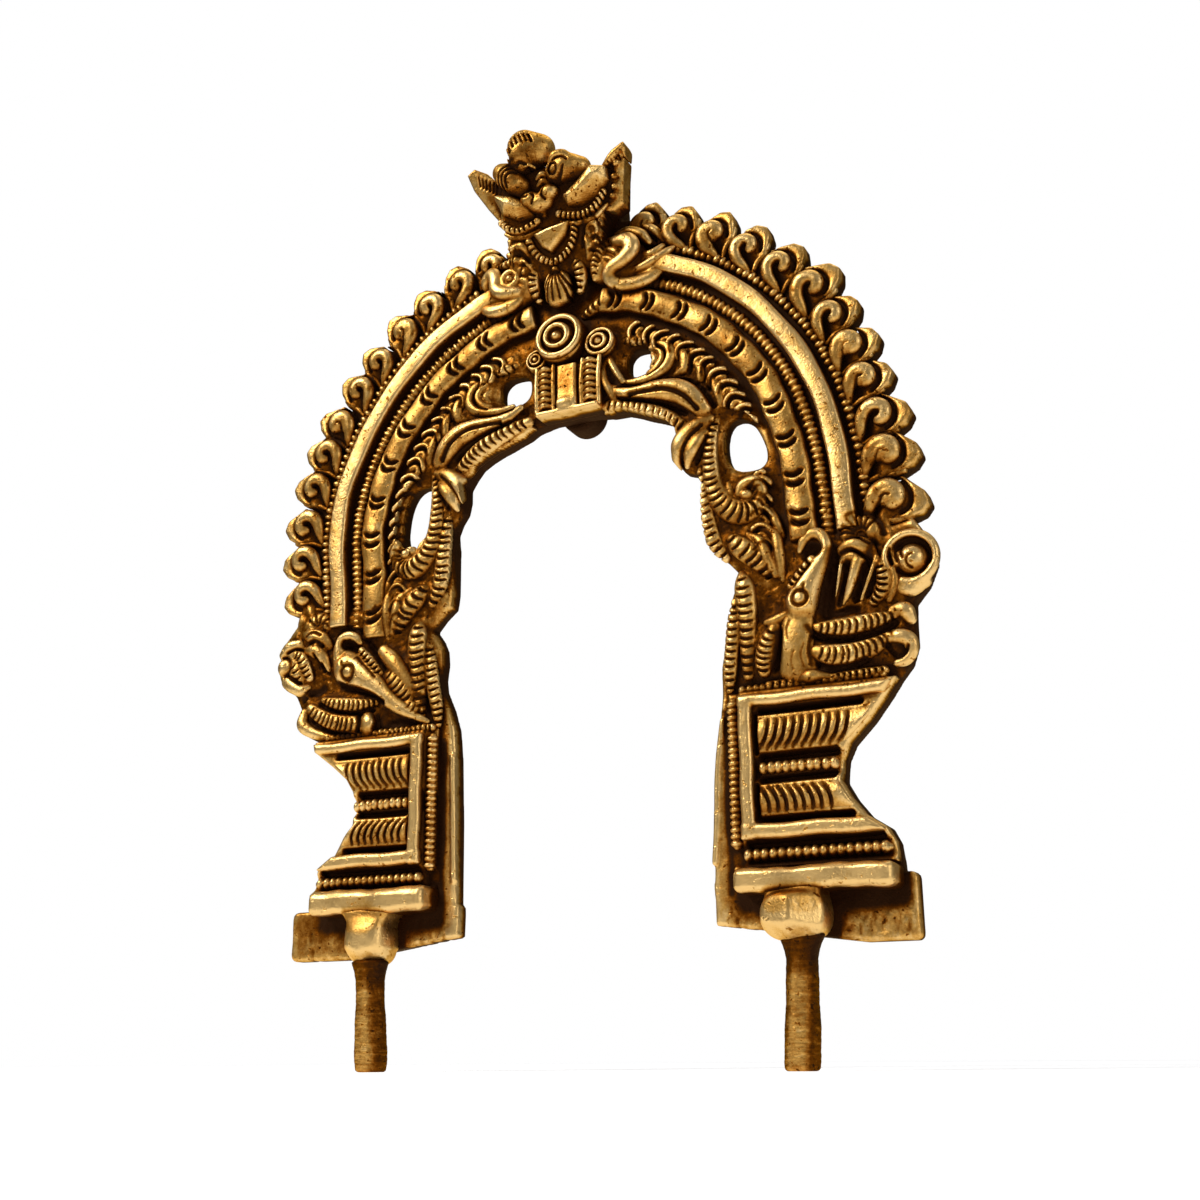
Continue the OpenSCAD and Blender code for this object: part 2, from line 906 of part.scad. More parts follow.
module ped_beads(s) {
    long_row = ped_out - rail_x - trim_gap;
    neck_row = waist_x - waist_r - flute_x;
    strip_row = top_bar_z + rail_w - low_bar_z;
    color(brass)
        side(s)
            on_plate()
                translate([0, 0, ped_t]) {
                    for (z = [low_bead_z, top_bead_z])
                        translate([rail_x, z, 0])
                            bead_row(long_row, ped_bead_d);
                    translate([flute_x - flute_d / 2, neck_z, 0])
                        bead_row(neck_row, ped_bead_d);
                    translate([rail_x - trim_gap - ped_bead_d / 2, low_bar_z, 0])
                        rotate([0, 0, 90])
                            bead_row(strip_row, ped_bead_d);
                }
}

module base_slab(s) {
    color(pale_brass)
        side(s)
            on_plate()
                translate([ped_in, foot_h, 0])
                    cube([ped_w, slab_h, slab_d]);
}

// Lump under the slab, flat against the plate and bored from below for the peg
module peg_boss(s) {
    color(pale_brass)
        side(s)
            translate([peg_span / 2, 0, 0])
                difference() {
                    cylinder(d = boss_d, h = foot_h);
                    translate([-boss_d, plate_y, -over])
                        cube([2 * boss_d, boss_d, foot_h + 2 * over]);
                    translate([0, 0, -over])
                        cylinder(d = spigot_d + 2 * bore_gap, h = peg_grip + over);
                }
}

module peg(s) {
    r = peg_d / 2;
    color(brass)
        side(s)
            translate([peg_span / 2, 0, 0])
                rotate_extrude()
                    polygon([[0, -peg_len], [r - peg_chamfer, -peg_len], [r, peg_chamfer - peg_len],
                        [r, 0], [spigot_d / 2, 0], [spigot_d / 2, peg_grip], [0, peg_grip]]);
}

back_plate();
rear_lug();
band(LEFT);  // band_left
band(RIGHT);  // band_right
outer_beads(LEFT);  // outer_beads_left
outer_beads(RIGHT);  // outer_beads_right
inner_beads(LEFT);  // inner_beads_left
inner_beads(RIGHT);  // inner_beads_right
ringed_rod(LEFT);  // ringed_rod_left
ringed_rod(RIGHT);  // ringed_rod_right
vine_cord(LEFT);  // vine_cord_left
vine_cord(RIGHT);  // vine_cord_right
flames(LEFT);  // flames_left
flames(RIGHT);  // flames_right
keystone_block();
keystone_columns();
rosette_centre();
rosettes_side();
scroll_leaf(LEFT);  // scroll_leaf_left
scroll_leaf(RIGHT);  // scroll_leaf_right
volute(LEFT);  // volute_left
volute(RIGHT);  // volute_right
rib_strips(LEFT);  // rib_strips_left
rib_strips(RIGHT);  // rib_strips_right
mask_core();
mask_crest();
mask_eyes();
mask_ears();
mask_cheeks();
mask_nose();
mask_tongue();
mask_beads();
mask_beard();
makara(LEFT);  // makara_left
makara(RIGHT);  // makara_right
bird_head(LEFT);  // bird_head_left
bird_head(RIGHT);  // bird_head_right
bird_plumes(LEFT);  // bird_plumes_left
bird_plumes(RIGHT);  // bird_plumes_right
bird_tail(LEFT);  // bird_tail_left
bird_tail(RIGHT);  // bird_tail_right
bird_feathers(LEFT);  // bird_feathers_left
bird_feathers(RIGHT);  // bird_feathers_right
ped_block(LEFT);  // ped_block_left
ped_block(RIGHT);  // ped_block_right
ped_rail(LEFT);  // ped_rail_left
ped_rail(RIGHT);  // ped_rail_right
ped_flutes(LEFT);  // ped_flutes_left
ped_flutes(RIGHT);  // ped_flutes_right
ped_beads(LEFT);  // ped_beads_left
ped_beads(RIGHT);  // ped_beads_right
base_slab(LEFT);  // base_slab_left
base_slab(RIGHT);  // base_slab_right
peg_boss(LEFT);  // peg_boss_left
peg_boss(RIGHT);  // peg_boss_right
peg(LEFT);  // peg_left
peg(RIGHT);  // peg_right
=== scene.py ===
import math

import bpy
import numpy as np
from mathutils import Matrix


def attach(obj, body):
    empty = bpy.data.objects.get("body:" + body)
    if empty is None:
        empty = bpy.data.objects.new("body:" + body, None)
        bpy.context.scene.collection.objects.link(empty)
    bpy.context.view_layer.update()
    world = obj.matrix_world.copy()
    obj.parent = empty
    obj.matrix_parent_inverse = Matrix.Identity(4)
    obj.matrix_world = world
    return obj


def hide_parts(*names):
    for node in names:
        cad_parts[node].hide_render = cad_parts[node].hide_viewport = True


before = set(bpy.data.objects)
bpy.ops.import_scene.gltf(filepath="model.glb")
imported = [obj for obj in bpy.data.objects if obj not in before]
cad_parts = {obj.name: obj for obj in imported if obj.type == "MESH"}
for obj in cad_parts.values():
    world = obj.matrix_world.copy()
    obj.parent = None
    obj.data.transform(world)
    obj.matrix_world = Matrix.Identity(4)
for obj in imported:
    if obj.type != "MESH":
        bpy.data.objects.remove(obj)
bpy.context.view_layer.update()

# The sculpt is drawn in mm: x across, z up from the foot of the pegs, h out of the face of the plate.
# Y of the face of the plate, height of the seat and of the centre of the arch
FACE = 2.6
SEAT = 15.0
ARCH = 74.0
# how far the top of the casting leans to the left; where the lean starts and over what height it
# grows, and the same for the ribbons of the arch
LEAN = 1.2
LEAN_START = 46.0
LEAN_SPAN = 34.0
RIBBON_LEAN = (62.0, 22.0)
# slope of the face of the mask; its foot: how high and how far out
TILT = math.radians(24)
SLOPE = math.tan(TILT)
MASK_Z = 112
MASK_H = 3
# pieces are cut flat just below the face of the plate
SUNK = -0.3
# lowest height in the grid of a piece that sits on the plate
UNDER = -0.9
# ink of a gap so deep that no light comes back
VOID = 1.3
SIDES = (1, -1)
SIDE_NAME = {1: "right", -1: "left"}
rng = np.random.RandomState(11)


# Wax tools

def curve(pts, h, r, step):
    """Smooth line through (x, z[, h[, r]]) points, sampled every step mm."""
    q = np.array([tuple(p) + (h, r)[len(p) - 2:] for p in pts], float)
    a = np.vstack([2 * q[0] - q[1], q, 2 * q[-1] - q[-2]])
    out = []
    for i in range(len(q) - 1):
        p0, p1, p2, p3 = a[i:i + 4]
        n = max(2, int(np.linalg.norm((p2 - p1)[:3]) / step) + 1)
        t = np.linspace(0, 1, n, endpoint=False)[:, None]
        out.append(0.5 * (2 * p1 + (p2 - p0) * t + (2 * p0 - 5 * p1 + 4 * p2 - p3) * t ** 2
                          + (3 * p1 - p0 - 3 * p2 + p3) * t ** 3))
    return np.vstack(out + [q[-1:]])


def arc(cx, cz, r, a0, a1, n=14, *rest):
    """Points on an arc of a circle or ellipse, angles in degrees; rest is their height and thickness."""
    rx, rz = r if isinstance(r, tuple) else (r, r)
    turns = np.radians(np.linspace(a0, a1, n))
    return [(cx + rx * math.cos(a), cz + rz * math.sin(a), *rest) for a in turns]


def poly_sd(pts, X, Z):
    """Signed distance to a polygon, negative inside."""
    d = np.full(np.broadcast(X, Z).shape, 1e9)
    inside = np.zeros(d.shape, bool)
    for (ax, az), (bx, bz) in zip(pts, pts[1:] + pts[:1]):
        ex, ez = bx - ax, bz - az
        t = np.clip(((X - ax) * ex + (Z - az) * ez) / (ex * ex + ez * ez), 0, 1)
        d = np.minimum(d, np.hypot(X - ax - t * ex, Z - az - t * ez))
        if bz != az:
            inside ^= ((Z < az) != (Z < bz)) & (X < ex * (Z - az) / ez + ax)
    return np.where(inside, -d, d)


def rounded(a, b, r):
    """Signed distance to where a and b are both negative, with the corners rounded by r."""
    a, b = a + r, b + r
    return np.hypot(np.maximum(a, 0), np.maximum(b, 0)) + np.minimum(np.maximum(a, b), 0) - r


def box_sd(X, Z, x0, x1, z0, z1, r):
    """Signed distance to a rectangle with rounded corners."""
    return rounded(np.abs(X - (x0 + x1) / 2) - (x1 - x0) / 2, np.abs(Z - (z0 + z1) / 2) - (z1 - z0) / 2, r)


def solid(d2, H, h0, h1, r):
    """A flat shape d2 made thick from h0 to h1, its edges rounded by r."""
    return rounded(d2, np.maximum(h0 - H, H - h1), r)


def merge(a, b, k):
    """Smooth union of two distance fields."""
    f = np.clip(0.5 + 0.5 * (b - a) / k, 0, 1)
    return b * (1 - f) + a * f - k * f * (1 - f)


def superball(dx, dz, dh, radii, power, scale):
    """Rough distance to a squared-off ball."""
    q = sum(np.abs(d / r) ** power for d, r in zip((dx, dz, dh), radii))
    return (q ** (1 / power) - 1) * scale


def drop_crumbs(pts, quads, least=120):
    """A mesh without its loose bits of fewer than least points."""
    label, last = np.arange(len(pts)), None
    while last is None or (label != last).any():
        last = label.copy()
        np.minimum.at(label, quads.ravel(), np.repeat(label[quads].min(1), 4))
        label = label[label]
    stays = np.bincount(label)[label] >= least
    number = np.cumsum(stays) - 1
    return pts[stays], number[quads[stays[quads[:, 0]]]]


class Clay:
    """A lump of wax on a grid of signed distances; the points of a sloped one rise with the mask's face."""

    def __init__(self, lo, hi, v=0.18, fat=1.0, sloped=False):
        self.v = v
        self.fat = fat
        self.sloped = sloped
        self.marks = []
        self.lo = np.floor(np.array(lo, float) / v) * v
        self.n = np.ceil((np.array(hi) - self.lo) / v).astype(int) + 2
        self.phi = np.full(self.n, 3.0, np.float32)
        self.ax = [(low + np.arange(n) * v).astype(np.float32) for low, n in zip(self.lo, self.n)]

    def part(self, lo, hi):
        """A window of the grid: its slices, then its x, z and h."""
        a = np.clip(np.floor((np.asarray(lo) - self.lo) / self.v).astype(int), 0, self.n)
        b = np.clip(np.ceil((np.asarray(hi) - self.lo) / self.v).astype(int) + 1, 0, self.n)
        s = tuple(slice(i, j) for i, j in zip(a, b))
        return (s, *np.ix_(*(axis[w] for axis, w in zip(self.ax, s))))

    def axes(self):
        """The x, z and h of the whole grid."""
        return np.ix_(*self.ax)

    def flat(self):
        """The x and z of the grid, for shapes seen from the front."""
        return self.ax[0][:, None].astype(float), self.ax[1][None, :].astype(float)

    def place(self, p):
        """A point as (x, z, h, ...), where a sloped piece gives its height above the mask's face."""
        return (p[0], p[1], mask_face(p[1]) + p[2], *p[3:]) if self.sloped else p

    def fill(self, d):
        """Replaces the wax by a shape."""
        self.phi = d.astype(np.float32)

    def join(self, d, k=0.0, window=...):
        """Adds a shape to the wax, with a fillet of size k."""
        p = self.phi[window]
        self.phi[window] = merge(p, d, k) if k > 0 else np.minimum(p, d)

    def blob(self, c, r, k=0.1):
        """A ball or egg of wax."""
        r = np.broadcast_to(np.asarray(r, float), 3)
        c = np.asarray(self.place(c), float)
        s, X, Z, H = self.part(c - r - 0.6, c + r + 0.6)
        q = np.sqrt(((X - c[0]) / r[0]) ** 2 + ((Z - c[1]) / r[1]) ** 2 + ((H - c[2]) / r[2]) ** 2)
        self.join((q - 1) * r.min(), k, s)

    def stroke(self, pts, r=0.7, h=0.6, k=0.12, rib=None, flat=1.0):
        """A thread rolled along a line; rib is the pitch and depth of the nicks across it."""
        p = curve([self.place(q) for q in pts], h, r, max(0.1, 0.28 * r))
        p[:, 3] *= self.fat
        m = p[:, 3].max() + 3 * self.v + k
        s, X, Z, H = self.part(p[:, :3].min(0) - m, p[:, :3].max(0) + m)
        shape = np.broadcast(X, Z, H).shape
        if min(shape) == 0:
            return
        d = np.full(shape, 3.0, np.float32)
        lo = np.array([X[0, 0, 0], Z[0, 0, 0], H[0, 0, 0]])
        for x, z, up, thick in p:
            c = np.array([x, z, up])
            g = thick + 2 * self.v + k
            a = np.maximum(((c - g - lo) / self.v).astype(int), 0)
            b = np.maximum(((c + g - lo) / self.v).astype(int) + 2, 0)
            t = tuple(slice(i, j) for i, j in zip(a, b))
            q = (X[t[0]] - x) ** 2 + (Z[:, t[1]] - z) ** 2 + ((H[:, :, t[2]] - up) / flat) ** 2
            if q.size:
                d[t] = np.minimum(d[t], np.sqrt(q) - thick)
        self.join(d, k, s)
        if rib:
            self.nicks(p, *rib)

    def nicks(self, p, pitch, deep):
        """Bowed cuts across a stroke, one every pitch mm."""
        run = np.concatenate([[0], np.cumsum(np.hypot(*np.diff(p[:, :2], axis=0).T))])
        n = max(1, int(run[-1] / pitch))
        u = np.linspace(-0.76, 0.55, 5)
        for s in (np.arange(n) + 0.5 + rng.uniform(-0.12, 0.12, n)) * run[-1] / n:
            x, z, r = (np.interp(s, run, p[:, k]) for k in (0, 1, 3))
            i = min(np.searchsorted(run, s), len(p) - 2)
            tx, tz = p[i + 1, :2] - p[i, :2]
            f = math.hypot(tx, tz) + 1e-9
            tx, tz = tx / f, tz / f
            side, along = u * r, 0.45 * r * (1 - u ** 2)
            q = list(zip(x - tz * side + tx * along, z + tx * side + tz * along))
            self.cut(q, 0.14 * pitch, 0.85 * deep)
            self.cut(q[1:4], 0.2 * pitch, 0.5 * deep)

    def cut(self, pts, w=0.22, d=0.4, ink=1.0, lo_h=-9.0):
        """Presses a rounded groove along a line seen from the front; its ink is the dirt and the painted
        shade in it.
        """
        p = curve(pts, 0, 0, 0.5 * w)[:, :2]
        m = 2.6 * w
        s, X, Z, _ = self.part((*(p.min(0) - m), lo_h), (*(p.max(0) + m), 99))
        if X.size and Z.size:
            g = ((X - p[:, 0]) ** 2 + (Z - p[:, 1]) ** 2).min(2)
            self.phi[s] += (d * np.exp(-g / w ** 2))[:, :, None].astype(np.float32)
        self.marks.append((p, w, ink))

    def floor(self, h):
        """Cuts the wax flat where it sits on the plate."""
        if h is not None:
            self.phi = np.maximum(self.phi, h - self.ax[2])

    def mesh(self):
        """Surface nets: one point in each cell that the surface crosses."""
        f = self.phi
        for axis in range(3):
            sheets = np.moveaxis(f, axis, 0)
            for i in (0, -1):
                sheets[i] = np.maximum(sheets[i], 0.01)
        neg = f < 0
        nx, nz, nh = np.array(f.shape) - 1
        corners = list(np.ndindex(2, 2, 2))
        count = sum(neg[i:i + nx, j:j + nz, k:k + nh].astype(np.int8) for i, j, k in corners)
        live = (count > 0) & (count < 8)
        cells = np.argwhere(live)
        index = np.full(live.shape, -1)
        index[live] = np.arange(len(cells))
        val = {c: f[tuple((cells + c).T)] for c in corners}
        pos = np.zeros((len(cells), 3))
        hits = np.zeros(len(cells))
        for c in corners:
            for step in np.eye(3, dtype=int):
                if (c * step).any():
                    continue
                a, b = val[c], val[tuple(c + step)]
                m = (a < 0) != (b < 0)
                pos[m] += c + step * (a[m] / (a[m] - b[m]))[:, None]
                hits[m] += 1
        pts = self.lo + (cells + pos / hits[:, None]) * self.v
        quads = []
        for axis in range(3):
            window = [slice(1, -1)] * 3
            window[axis] = slice(None, -1)
            a = neg[tuple(window)]
            window[axis] = slice(1, None)
            b = neg[tuple(window)]
            for turn, m in ((1, a & ~b), (-1, b & ~a)):
                ring = []
                for du, dw in ((0, 0), (1, 0), (1, 1), (0, 1))[::turn]:
                    c = np.argwhere(m)
                    c[:, (axis + 1) % 3] += du
                    c[:, (axis + 2) % 3] += dw
                    ring.append(index[tuple(c.T)])
                quads.append(np.stack(ring, 1))
        return drop_crumbs(pts, np.vstack(quads))


# Maps of the whole front: height of the pieces, and the dirt and painted shade in their grooves and under
# them

shapes = {}
MAP_LOW = (-56.0, -3.0)
MAP_SPAN = (112, 140)
CELL = 0.2
DIRT_AND_SHADE_CELL = 0.1
# ink on the front: dirt, with painted shade in the deep gaps and under the slabs
dirt_and_shade = np.zeros([round(k / DIRT_AND_SHADE_CELL) for k in MAP_SPAN], np.float32)


def cells(x, z, size):
    """Rows and columns of a map with cells of that size."""
    return ((x - MAP_LOW[0]) / size).astype(int), ((z - MAP_LOW[1]) / size).astype(int)


def height_map(empty):
    """Highest point of the pieces made so far over each cell."""
    top = np.full([round(k / CELL) for k in MAP_SPAN], empty)
    for pts, _ in shapes.values():
        np.maximum.at(top, cells(pts[:, 0], pts[:, 1], CELL), pts[:, 2])
    wide = np.max([np.roll(top, (a, b), (0, 1)) for a in (-1, 0, 1) for b in (-1, 0, 1)], 0)
    return np.where(top <= empty, wide, top)


def blur(field, mm):
    """A height map smoothed over a few mm."""
    fx, fz = np.fft.fftfreq(field.shape[0])[:, None], np.fft.rfftfreq(field.shape[1])[None, :]
    k = 2 * (math.pi * mm / CELL) ** 2
    return np.fft.irfft2(np.fft.rfft2(field) * np.exp(-k * (fx ** 2 + fz ** 2)), s=field.shape)


def paint_dirt_and_shade(clay, mirror=1):
    """Adds the ink of a piece's grooves, dirt and painted shade, to the map of the whole front."""
    for p, w, ink in clay.marks:
        i, j = cells(p[:, 0] * mirror, p[:, 1], DIRT_AND_SHADE_CELL)
        reach = range(-int(2 * w / DIRT_AND_SHADE_CELL) - 1, int(2 * w / DIRT_AND_SHADE_CELL) + 2)
        for a in reach:
            for b in reach:
                v = ink * math.exp(-(a * a + b * b) * DIRT_AND_SHADE_CELL ** 2 / w ** 2)
                if v > 0.05:
                    np.maximum.at(dirt_and_shade, (i + a, j + b), v)


def lean(z, start=LEAN_START, span=LEAN_SPAN):
    """How far the casting leans to the left at height z."""
    t = np.clip((z - start) / span, 0, 1)
    return LEAN * t * t * (3 - 2 * t)


def keep(node, clay, floor=SUNK, upright=False):
    """Stores a piece; an upright one was measured as it stands, lean included."""
    clay.floor(floor)
    pts, quads = clay.mesh()
    if upright:
        for p in [pts] + [mark[0] for mark in clay.marks]:
            p[:, 0] += lean(p[:, 1])
    paint_dirt_and_shade(clay)
    shapes[node] = (pts, quads)


def trim_to(clay, s, margin):
    """Cuts a piece of side s back from the opening, and from the holes by a margin."""
    x, z = clay.flat()
    d = np.minimum(poly_sd(OPENING, s * x, z), holes(s * x, z) - margin)
    clay.phi = np.maximum(clay.phi, (-0.2 - d)[:, :, None].astype(np.float32))


def one_side(node, clay, s, floor=SUNK, trim=0, ribbon=False):
    """A piece drawn on the right that belongs to side s; the arch ribbons lean later than the rest."""
    clay.floor(floor)
    if trim:
        trim_to(clay, s, trim)
    paint_dirt_and_shade(clay, s)
    p, q = clay.mesh()
    if s < 0:
        p, q = p * (-1, 1, 1), q[:, ::-1]
    if ribbon:
        p[:, 0] += lean(p[:, 1]) - lean(p[:, 1], *RIBBON_LEAN)
    shapes[node + "_" + SIDE_NAME[s]] = (p, q)


def both(node, clay, trim):
    """The right piece and its mirror image, each trimmed to its own side of the opening."""
    full = clay.phi
    for s in SIDES:
        clay.phi = full.copy()
        one_side(node, clay, s, trim=trim)


def at_arch(r, a, *rest):
    """A point on a ribbon of the arch; below the centre the ribbons run straight down."""
    a = math.radians(a)
    x, z = (r * math.cos(a), ARCH + r * math.sin(a)) if a > 0 else (r, ARCH + r * a)
    return (x, z, *rest)


# Plate

# radius of the disc, thickness of the plate, height and radius of the boss behind the mask
DISC_R = 46.0
PLATE = 2.5
CROWN_Z = 120.8
CROWN_R = 8.9
# angle and reach of each leaf tip
FLAMES = {
    1: [(-6, 0.7), (1.7, 0.3), (8.5, 0), (15.8, -0.8), (22.5, -0.5), (29.5, -0.4),
        (36.4, 0.6), (44, -0.3), (51.8, -0.6), (59.4, -0.6), (66.8, -1), (73.8, -0.9)],
    -1: [(-6.2, -0.3), (0.9, 0.2), (8.1, 0.3), (15.8, 0.3), (22.8, 0.3), (29.2, 0.3),
         (36.9, -0.1), (43.7, -0.2), (51.3, 0.1), (58.4, -0.2), (66, -0.5), (73, -0.9)],
}
# outline of a leaf tip and the groove round its curl, as radius and angle
TOOTH = [(44, -3.6), (46.9, -3.4), (48.7, -2.3), (49.6, -0.9), (49.2, 0.7), (47.8, 2.1), (46.7, 3.3),
         (44, 3.6)]
GROOVE = [(43.4, 1), (44, 2.6), (45.4, 3.3), (46.9, 2.5), (47.7, 0.5), (47.4, -1.5), (46.2, -2.6)]
# outer side of each bird, then of each pedestal below it
LOBE = {
    1: [(22, 62), (48.2, 66), (49.8, 63), (50.1, 60.2), (48.7, 57.4), (46.8, 55.4), (46.6, 52.6), (46.5, 50),
        (45.6, 47.6)],
    -1: [(22, 62), (46.4, 66.2), (47, 64.4), (49.9, 62.2), (50.5, 58.6), (49.6, 55.8), (47.6, 53.6),
         (46.6, 51.6), (46.6, 49.2), (45.4, 47.4)],
}
EDGE = {
    1: [(44.2, 46), (42.8, 44), (40.4, 41), (37.8, 38.4), (36.8, 36.4), (36.5, 33.8), (37.7, 31.6),
        (39.4, 29.4), (41.8, 27.8), (42.7, 26), (43, 23.6)],
    -1: [(42.6, 46), (42.2, 44.2), (39.2, 42), (36.8, 40), (35.5, 38), (35.3, 35), (35.4, 33.4), (37, 31.4),
         (38.2, 29.3), (40.9, 27.5), (41.9, 25.6), (42.4, 23.6)],
}
# both sides of the opening, from the foot to the keystone
RIGHT_EDGE = [(18.9, 13), (18.9, 20.5), (18.7, 25), (19.1, 30), (19.3, 35), (19.7, 39), (20.3, 43),
              (20.7, 46), (20.8, 50), (21.6, 53.5), (22.2, 56.5), (23, 59.5), (23.8, 61.3), (24.1, 62.6),
              (22.9, 64.1), (21.4, 65.5), (20.6, 67), (20.3, 70), (20.3, 73.6), (20.5, 75.6),
              (19.7, 77.4), (17.4, 78.2), (16.5, 79.6), (16.4, 81.6), (16.9, 84.5), (15.5, 86),
              (13.7, 86.8), (11.9, 87.5), (10.2, 88.3), (8.6, 88.9), (6.4, 89), (3, 89.6)]
LEFT_EDGE = [(-18.7, 13), (-18.5, 20.5), (-18.8, 25), (-19.1, 34), (-19.4, 42), (-19.8, 46), (-20.7, 49),
             (-21.9, 51.8), (-22.1, 53.5), (-21.7, 56), (-21.8, 58), (-22.4, 59.5), (-23.4, 61),
             (-21.9, 62.6), (-20.1, 64), (-19.7, 66), (-19.5, 70), (-19.4, 73), (-19.6, 75.4),
             (-18.9, 77), (-17.9, 78.4), (-17.5, 80.2), (-17.5, 82.2), (-16.5, 83.7), (-15.4, 85),
             (-13.8, 85.9), (-12.1, 86.6), (-10.5, 87.1), (-8.9, 87.7), (-7.4, 88.2), (-6, 89),
             (-3, 89.6)]
OPENING = RIGHT_EDGE + LEFT_EDGE[::-1]


def edge(s, z):
    """Outer side of the pedestal of side s at height z."""
    x, up = zip(*EDGE[s][::-1])
    return np.interp(z, up, x)


def holes(X, Z):
    """Signed distance to the four holes through the plate, negative inside."""
    def oval(x, z, a, b, slant=0.0, taper=0.0):
        w = (Z - z) / b
        u = (X - x - slant * (Z - z)) / (a * (1 - taper * np.clip(w, -1, 1)))
        return ((np.abs(u) ** 2.4 + np.abs(w) ** 2.4) ** (1 / 2.4) - 1) * min(a, b)
    slots = np.minimum(oval(26.2, 80.6, 2.75, 3.9, -0.2, 0.22), oval(-25.5, 78.6, 2.7, 4.9, 0.14))
    return np.minimum(slots, np.minimum(oval(11.0, 96.1, 2.0, 2.1), oval(-9.2, 95.9, 2.6, 2.3)))


def plate_outline(X, Z):
    """Signed distance to the plate seen from the front: disc, leaf tips, boss, feet and legs."""
    x = np.abs(X)
    d = np.hypot(x, Z - ARCH) - DISC_R
    for s in SIDES:
        for a, up in FLAMES[s]:
            tip = [at_arch(r + up * (r > 45), a + o) for r, o in TOOTH]
            d = np.minimum(d, np.where(X * s > 0, poly_sd(tip, X * s, Z) - 0.2, 9.0))
    d = np.minimum(d, np.hypot(x, Z - CROWN_Z) - CROWN_R)
    feet = np.minimum(box_sd(X, Z, 18.5, 44.7, 14.5, 22.6, 0.9), box_sd(X, Z, -46.2, -18.4, 14.9, 21.8, 0.9))
    d = np.minimum(d, np.maximum(feet, (14.6 + np.clip((38 - x) * 0.14, 0, 2.8) - Z) * 0.99))
    for s in SIDES:
        leg = LOBE[s] + EDGE[s] + [(43.2, 20), (18.9, 20), (19.4, 60)]
        d = np.minimum(d, np.where(X * s > 0, poly_sd(leg, X * s, Z), 9.0))
    return np.maximum(d, -np.minimum(poly_sd(OPENING, X, Z), holes(X, Z)))


def plate_relief(X, Z, d):
    """How far the face of the plate stands out; it meets the ornament on it and drops in the grooves."""
    def ripple(high, fx, bx, gx, fz, bz, gz):
        return high * np.sin(X * fx + bx * np.sin(Z * gx)) * np.sin(Z * fz + bz * np.sin(X * gz))
    wave = ripple(0.12, 0.9, 1.3, 0.41, 0.8, 0.7, 0.53)
    lump = ripple(0.22, 2.1, 1.7, 1.1, 2.3, 1.5, 0.9)
    grain = ripple(0.16, 4.7, 1.9, 2.6, 4.3, 1.7, 2.2)
    x = np.abs(X)
    out = np.hypot(x, Z - ARCH)
    bird = [(24, 47.4), (44.4, 47.4), (46.4, 53), (47.8, 58), (47.6, 63), (44, 66.5), (38, 65.5), (30.6, 66),
            (26, 66), (22, 62)]
    swell = np.minimum(np.minimum(np.hypot(x, Z - 70) - 26, out - 29.6), poly_sd(bird, x, Z))
    swell = np.clip(0.5 - swell / 2.6, 0, 1) * np.clip((np.minimum(-d, Z - 46.4)) / 1.2, 0, 1)
    above = np.clip((Z - 62) / 3, 0, 1)
    ribbon = np.clip(1.5 - np.abs(out - 36.2) / 5.5, 0, 1) * above
    tooth = np.clip((out - 43.4) / 1.6, 0, 1) * above
    bed = blur(np.clip(height_map(0.0), 0, 2.6), 0.7)[cells(X, Z, CELL)]
    rise = swell * (0.45 + 0.45 * bed + 0.4 * lump + grain - 0.75 * dirt_and_shade[cells(X, Z, DIRT_AND_SHADE_CELL)])
    return wave + np.maximum(rise, 0) + 0.25 * ribbon + 1.0 * tooth


def back_plate():
    c = Clay((-52, 13.6, -3.2), (52, 131.5, 3.2), 0.27)
    X, Z = c.flat()
    d = plate_outline(X, Z)
    rise = plate_relief(X, Z, d)[:, :, None]
    H = c.ax[2][None, None, :]
    c.fill(solid(d[:, :, None], H - rise * np.clip((H + PLATE) / PLATE, 0, 1), -PLATE, 0.0, 0.45))
    for s in SIDES:
        for a, up in FLAMES[s]:
            q = [at_arch(r + 0.7 * up, a + o) for r, o in GROOVE]
            c.cut([(s * x, z) for x, z in q], 0.26, 0.75, ink=0.6, lo_h=-1.2)
    # rounded rim along the legs
    for pts in (RIGHT_EDGE, LEFT_EDGE):
        c.stroke([(x + math.copysign(0.45, x), z, 0.0, 0.42) for x, z in pts if 21 < z < 46], k=0.3)
    # short scratches and soot on the feet, clear of the bosses
    for s in SIDES:
        for x in [*np.linspace(20, 26, 12), *np.linspace(35.6, 43.6, 14)]:
            x, z = x + rng.uniform(-0.3, 0.3), rng.uniform(16.2, 20.0)
            tip = (s * (x + rng.uniform(-0.5, 0.5)), z - rng.uniform(0.3, 1.6))
            c.cut([(s * x, z), tip], rng.uniform(0.12, 0.34), 0.12, ink=rng.uniform(0.1, 0.6))
    keep("back_plate", c, None)


def rear_lug():
    c = Clay((-4, 87.4, -7.2), (4, 96.8, -1.9))
    X, Z, H = c.axes()
    d = np.minimum(np.hypot(X, Z - 91.7) - 3, box_sd(X, Z, -3, 3, 91.7, 95.8, 0.6))
    c.join(solid(d, H, -6.5, -2.2, 0.8))
    c.blob((0.4, 92.8, -6.2), (2.2, 2.6, 0.7), 0.4)
    keep("rear_lug", c, None)


# Arch ribbons

# radius of the middle of each ribbon
OUTER_BEADS_R = 41.95
BAND_R = 39.3
INNER_BEADS_R = 36.45
ROD_R = 33.25
VINE_R = 28.5


